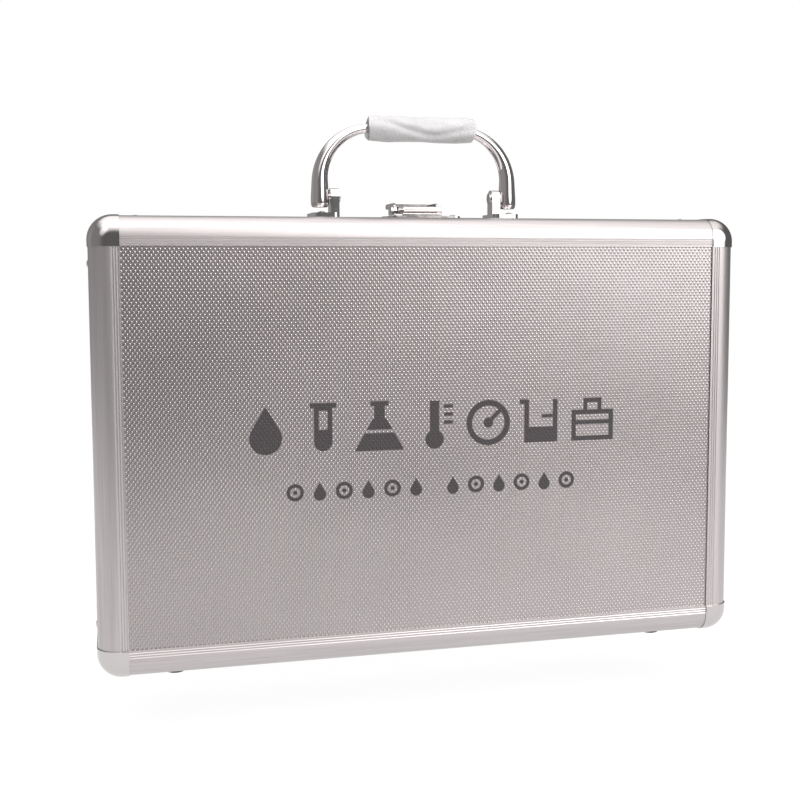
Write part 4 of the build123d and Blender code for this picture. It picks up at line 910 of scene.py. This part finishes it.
class KIT_OT_meter(bpy.types.Operator):
    """Finish the pen meter and the comparator's caps, and model the meter's display"""

    bl_idname = "kit.meter"
    bl_label = "Pen meter"

    def execute(self, context):
        paint(moulded("meter_white", (0.82, 0.83, 0.84), 0.28), "meter_body")
        blue = moulded("meter_blue", (0.012, 0.10, 0.36), 0.28)
        paint(blue, "meter_cap", "meter_button", "comparator_cap_left")
        paint(moulded("cap_red", (0.42, 0.015, 0.012), 0.3), "comparator_cap_right")
        screen = Finish("display_face", Base_Color=(0.30, 0.35, 0.29), Roughness=0.12)
        screen.tone(screen.noise(40, detail=2), 0.3, 0.7, (0.27, 0.32, 0.26), (0.34, 0.39, 0.32))
        paint(screen.material, "meter_display")
        place(self.figures(), "base", "meter_plastic")
        place(self.trim(), "base", "meter_plastic")
        return {"FINISHED"}

    def figures(self):
        """Three seven-segment figures and a point, just proud of the display."""
        low, middle, _ = span("meter_display")
        half, tall, bar, proud, sunk = 1.9, 3.8, 0.42, 0.06, 0.02
        places = {"a": (0, tall), "g": (0, 0), "d": (0, -tall), "f": (-half, tall / 2), "b": (half, tall / 2),
                  "e": (-half, -tall / 2), "c": (half, -tall / 2)}
        bars = [(-4.75, -tall, bar, bar)]
        for letters, offset in (("abc", -8.5), ("abcdefg", -1.0), ("acdfg", 6.5)):
            for letter in letters:
                x, z = places[letter]
                across, up = (half - bar, bar) if letter in "agd" else (bar, tall / 2 - bar)
                bars.append((x + offset, z, across, up))
        bm = bmesh.new()
        for x, z, across, up in bars:
            spot = Vector((middle.x, low.y, middle.z)) + Vector((x, 0, z)) * MM
            add_box(bm, spot - Vector((across, proud, up)) * MM, spot + Vector((across, sunk, up)) * MM)
        ink = moulded("display_ink", (0.015, 0.018, 0.015), 0.5)
        return make_piece("display_figures", bm, ink, smooth=False)

    def trim(self):
        """A frame round the display, and grip ridges at the far end of the body."""
        low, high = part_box("meter_display")
        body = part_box("meter_body")
        front, back = body[0].y - 0.5 * MM, body[0].y + 0.1 * MM
        rim, ridge, pitch, count = 1.6 * MM, 1.1 * MM, 2.4 * MM, 7
        bm = bmesh.new()
        for x0, x1, z0, z1 in ((low.x - rim, high.x + rim, high.z, high.z + rim),
                               (low.x - rim, high.x + rim, low.z - rim, low.z),
                               (low.x - rim, low.x, low.z, high.z), (high.x, high.x + rim, low.z, high.z)):
            add_box(bm, (x0, front, z0), (x1, back, z1), bevel=0.18 * MM)
        for number in range(count):
            x = body[1].x - 8 * MM - number * pitch
            add_box(bm, (x - ridge / 2, front, low.z), (x + ridge / 2, back, high.z), bevel=0.3 * MM)
        return make_piece("meter_trim", bm, moulded("meter_frame", (0.05, 0.055, 0.06), 0.3))


class KIT_OT_comparator(bpy.types.Operator):
    """Finish the comparator block, its colour scale, its samples and the colour card"""

    bl_idname = "kit.comparator"
    bl_label = "Comparator"

    def execute(self, context):
        paint(clear_plastic("clear_acrylic", (0.93, 0.97, 0.98)), "comparator_block")
        shades = [(0.85, 0.10, 0.16), (0.86, 0.22, 0.10), (0.88, 0.42, 0.06), (0.85, 0.60, 0.08),
                  (0.86, 0.74, 0.22), (0.88, 0.84, 0.50)]
        paint(colour_steps("scale_print", "Z", "comparator_scale", shades), "comparator_scale")
        tones = [(0.80, 0.12, 0.05), (0.84, 0.30, 0.05), (0.85, 0.52, 0.06), (0.62, 0.66, 0.10),
                 (0.20, 0.48, 0.14), (0.05, 0.36, 0.30), (0.04, 0.20, 0.46), (0.14, 0.07, 0.40)]
        paint(colour_steps("card_print", "X", "colour_card", tones), "colour_card")
        self.sample("left", (0.95, 0.80, 0.25))
        self.sample("right", (0.92, 0.35, 0.42))
        return {"FINISHED"}

    def sample(self, side, colour):
        """The water in one cell, tinted by its reagent."""
        low, middle, _ = span(f"comparator_cap_{side}")
        half, surface = 6.9 * MM, low.z - 5 * MM
        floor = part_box("comparator_block")[1].z - 51.8 * MM
        bm = bmesh.new()
        add_box(bm, (middle.x - half, middle.y - half, floor), (middle.x + half, middle.y + half, surface),
                bevel=0.8 * MM)
        water = clear_plastic(f"sample_{side}_water", colour, 0.0, 1.33)
        place(make_piece(f"water_sample_{side}", bm, water), "base", "clear_acrylic")


# ---- The stage ----------------------------------------------------------------------------------
AMBIENT = 0.16
# Where the room is brighter: towards, angle of full strength, angle where it ends, strength.
ROOM = (
    ((0.52, -0.78, 0.35), 14, 27, 4.4),
    ((-0.50, -0.70, 0.50), 8, 20, 0.9),
    ((0.05, -0.05, 1.0), 28, 54, 1.2),
    ((-0.1, -0.5, 0.86), 18, 42, 1.1),
    ((-1.0, -0.1, 0.1), 20, 60, 0.15),
    ((-0.5, 0.86, 0.1), 20, 60, 0.15),
)


class KIT_OT_stage(bpy.types.Operator):
    """Make the floor, the light and the camera"""

    bl_idname = "kit.stage"
    bl_label = "Stage"

    def execute(self, context):
        stage = settings().stage
        self.floor(stage)
        self.surroundings()
        self.soft_light("key_light", (1.1, -1.3, 0.9), (0.05, 0, 0.1), 0.8, 1.5)
        self.soft_light("top_light", (-0.1, 0.2, 1.8), (0, 0, 0.1), 1.8, 4)
        data = bpy.data.cameras.new("camera")
        data.sensor_width = 36
        data.lens = stage.focal_length
        data.shift_y = stage.lens_shift
        data.clip_start = 0.01
        camera = bpy.data.objects.new("camera", data)
        camera.location = stage.camera_place
        camera.rotation_euler = stage.camera_turn
        context.scene.collection.objects.link(camera)
        context.scene.camera = camera
        context.scene.view_settings.view_transform = "Standard"
        return {"FINISHED"}

    def floor(self, stage):
        """A self-lit table, low enough for the lid to lie on it when it is opened from the standing case."""
        hinge = JOINTS["lid_hinge"]["pos_m"]
        lid_depth = hinge[1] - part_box("lid_corner_top_left")[0].y
        level = hinge[2] - lid_depth - 0.4 * MM
        width, rear = 2.4, 1.2
        bm = bmesh.new()
        bmesh.ops.create_grid(bm, x_segments=1, y_segments=1, size=0.5)
        bmesh.ops.scale(bm, vec=(width, stage.table_reach + rear, 1), verts=bm.verts)
        bmesh.ops.translate(bm, vec=(0, (rear - stage.table_reach) / 2, level), verts=bm.verts)
        finish = Finish("floor_paint", Base_Color=tuple(stage.floor_colour), Roughness=0.9,
                        Emission_Color=(1, 1, 1), Emission_Strength=0.91)
        make_piece("floor", bm, finish.material, smooth=False)

    def surroundings(self):
        """A dim white room with soft bright patches, which the camera itself sees as plain white."""
        world = bpy.data.worlds.new("white_room")
        bpy.context.scene.world = world
        world.use_nodes = True
        tree = world.node_tree
        lit = tree.nodes["Background"]
        source = tree.nodes.new("ShaderNodeTexCoord")
        split = tree.nodes.new("ShaderNodeSeparateXYZ")
        tree.links.new(source.outputs["Generated"], split.inputs[0])
        direction = [Signal(tree, socket) for socket in split.outputs]
        patches = [self.patch(tree, direction, *patch) for patch in ROOM]
        strength = sum(patches[1:], patches[0]) + AMBIENT
        tree.links.new(strength.socket, lit.inputs["Strength"])
        lit.inputs["Color"].default_value = (1.0, 0.985, 0.98, 1)
        plain = tree.nodes.new("ShaderNodeBackground")
        plain.inputs["Color"].default_value = (1, 1, 1, 1)
        seen = tree.nodes.new("ShaderNodeLightPath")
        choose = tree.nodes.new("ShaderNodeMixShader")
        tree.links.new(seen.outputs["Is Camera Ray"], choose.inputs["Fac"])
        tree.links.new(lit.outputs[0], choose.inputs[1])
        tree.links.new(plain.outputs[0], choose.inputs[2])
        tree.links.new(choose.outputs[0], tree.nodes["World Output"].inputs["Surface"])

    def patch(self, tree, direction, toward, inner, outer, amount):
        """A round bright patch of the room."""
        x, y, z = (part * share for part, share in zip(direction, Vector(toward).normalized()))
        fade = tree.nodes.new("ShaderNodeMapRange")
        fade.interpolation_type = "SMOOTHSTEP"
        fade.inputs["From Min"].default_value = cos(radians(outer))
        fade.inputs["From Max"].default_value = cos(radians(inner))
        tree.links.new((x + y + z).socket, fade.inputs["Value"])
        return Signal(tree, fade.outputs["Result"]) * amount

    def soft_light(self, name, place_at, aim, size, power):
        """A square soft light aimed at a point."""
        data = bpy.data.lights.new(name, "AREA")
        data.size = size
        data.energy = power
        light = bpy.data.objects.new(name, data)
        light.location = place_at
        light.rotation_euler = (Vector(aim) - Vector(place_at)).to_track_quat("-Z", "Y").to_euler()
        bpy.context.scene.collection.objects.link(light)


# ---- Add-on layout ------------------------------------------------------------------------------
class KitSettings(bpy.types.PropertyGroup):
    case: PointerProperty(type=CaseSettings)
    handle: PointerProperty(type=HandleSettings)
    contents: PointerProperty(type=ContentsSettings)
    stage: PointerProperty(type=StageSettings)


OPERATORS = (KIT_OT_stage, KIT_OT_case, KIT_OT_handle, KIT_OT_latch, KIT_OT_foam, KIT_OT_bottles,
             KIT_OT_meter, KIT_OT_comparator)


class KIT_PT_panel(bpy.types.Panel):
    bl_idname = "KIT_PT_panel"
    bl_label = "Water test kit"
    bl_space_type = "VIEW_3D"
    bl_region_type = "UI"
    bl_category = "Test kit"

    def draw(self, context):
        for name in ("case", "handle", "contents", "stage"):
            group = getattr(context.scene.test_kit, name)
            box = self.layout.box()
            for key in group.__annotations__:
                box.prop(group, key)
        for operator in OPERATORS:
            self.layout.operator(operator.bl_idname)


GROUPS = (CaseSettings, HandleSettings, ContentsSettings, StageSettings, KitSettings)
CLASSES = (*GROUPS, *OPERATORS, KIT_PT_panel)


def register():
    """Registers the classes and the scene's settings."""
    for item in CLASSES:
        bpy.utils.register_class(item)
    bpy.types.Scene.test_kit = PointerProperty(type=KitSettings)


def unregister():
    """Undoes register."""
    del bpy.types.Scene.test_kit
    for item in reversed(CLASSES):
        bpy.utils.unregister_class(item)


def main():
    """Builds everything."""
    register()
    for operator in OPERATORS:
        group, name = operator.bl_idname.split(".")
        getattr(getattr(bpy.ops, group), name)()


if __name__ == "__main__":
    main()
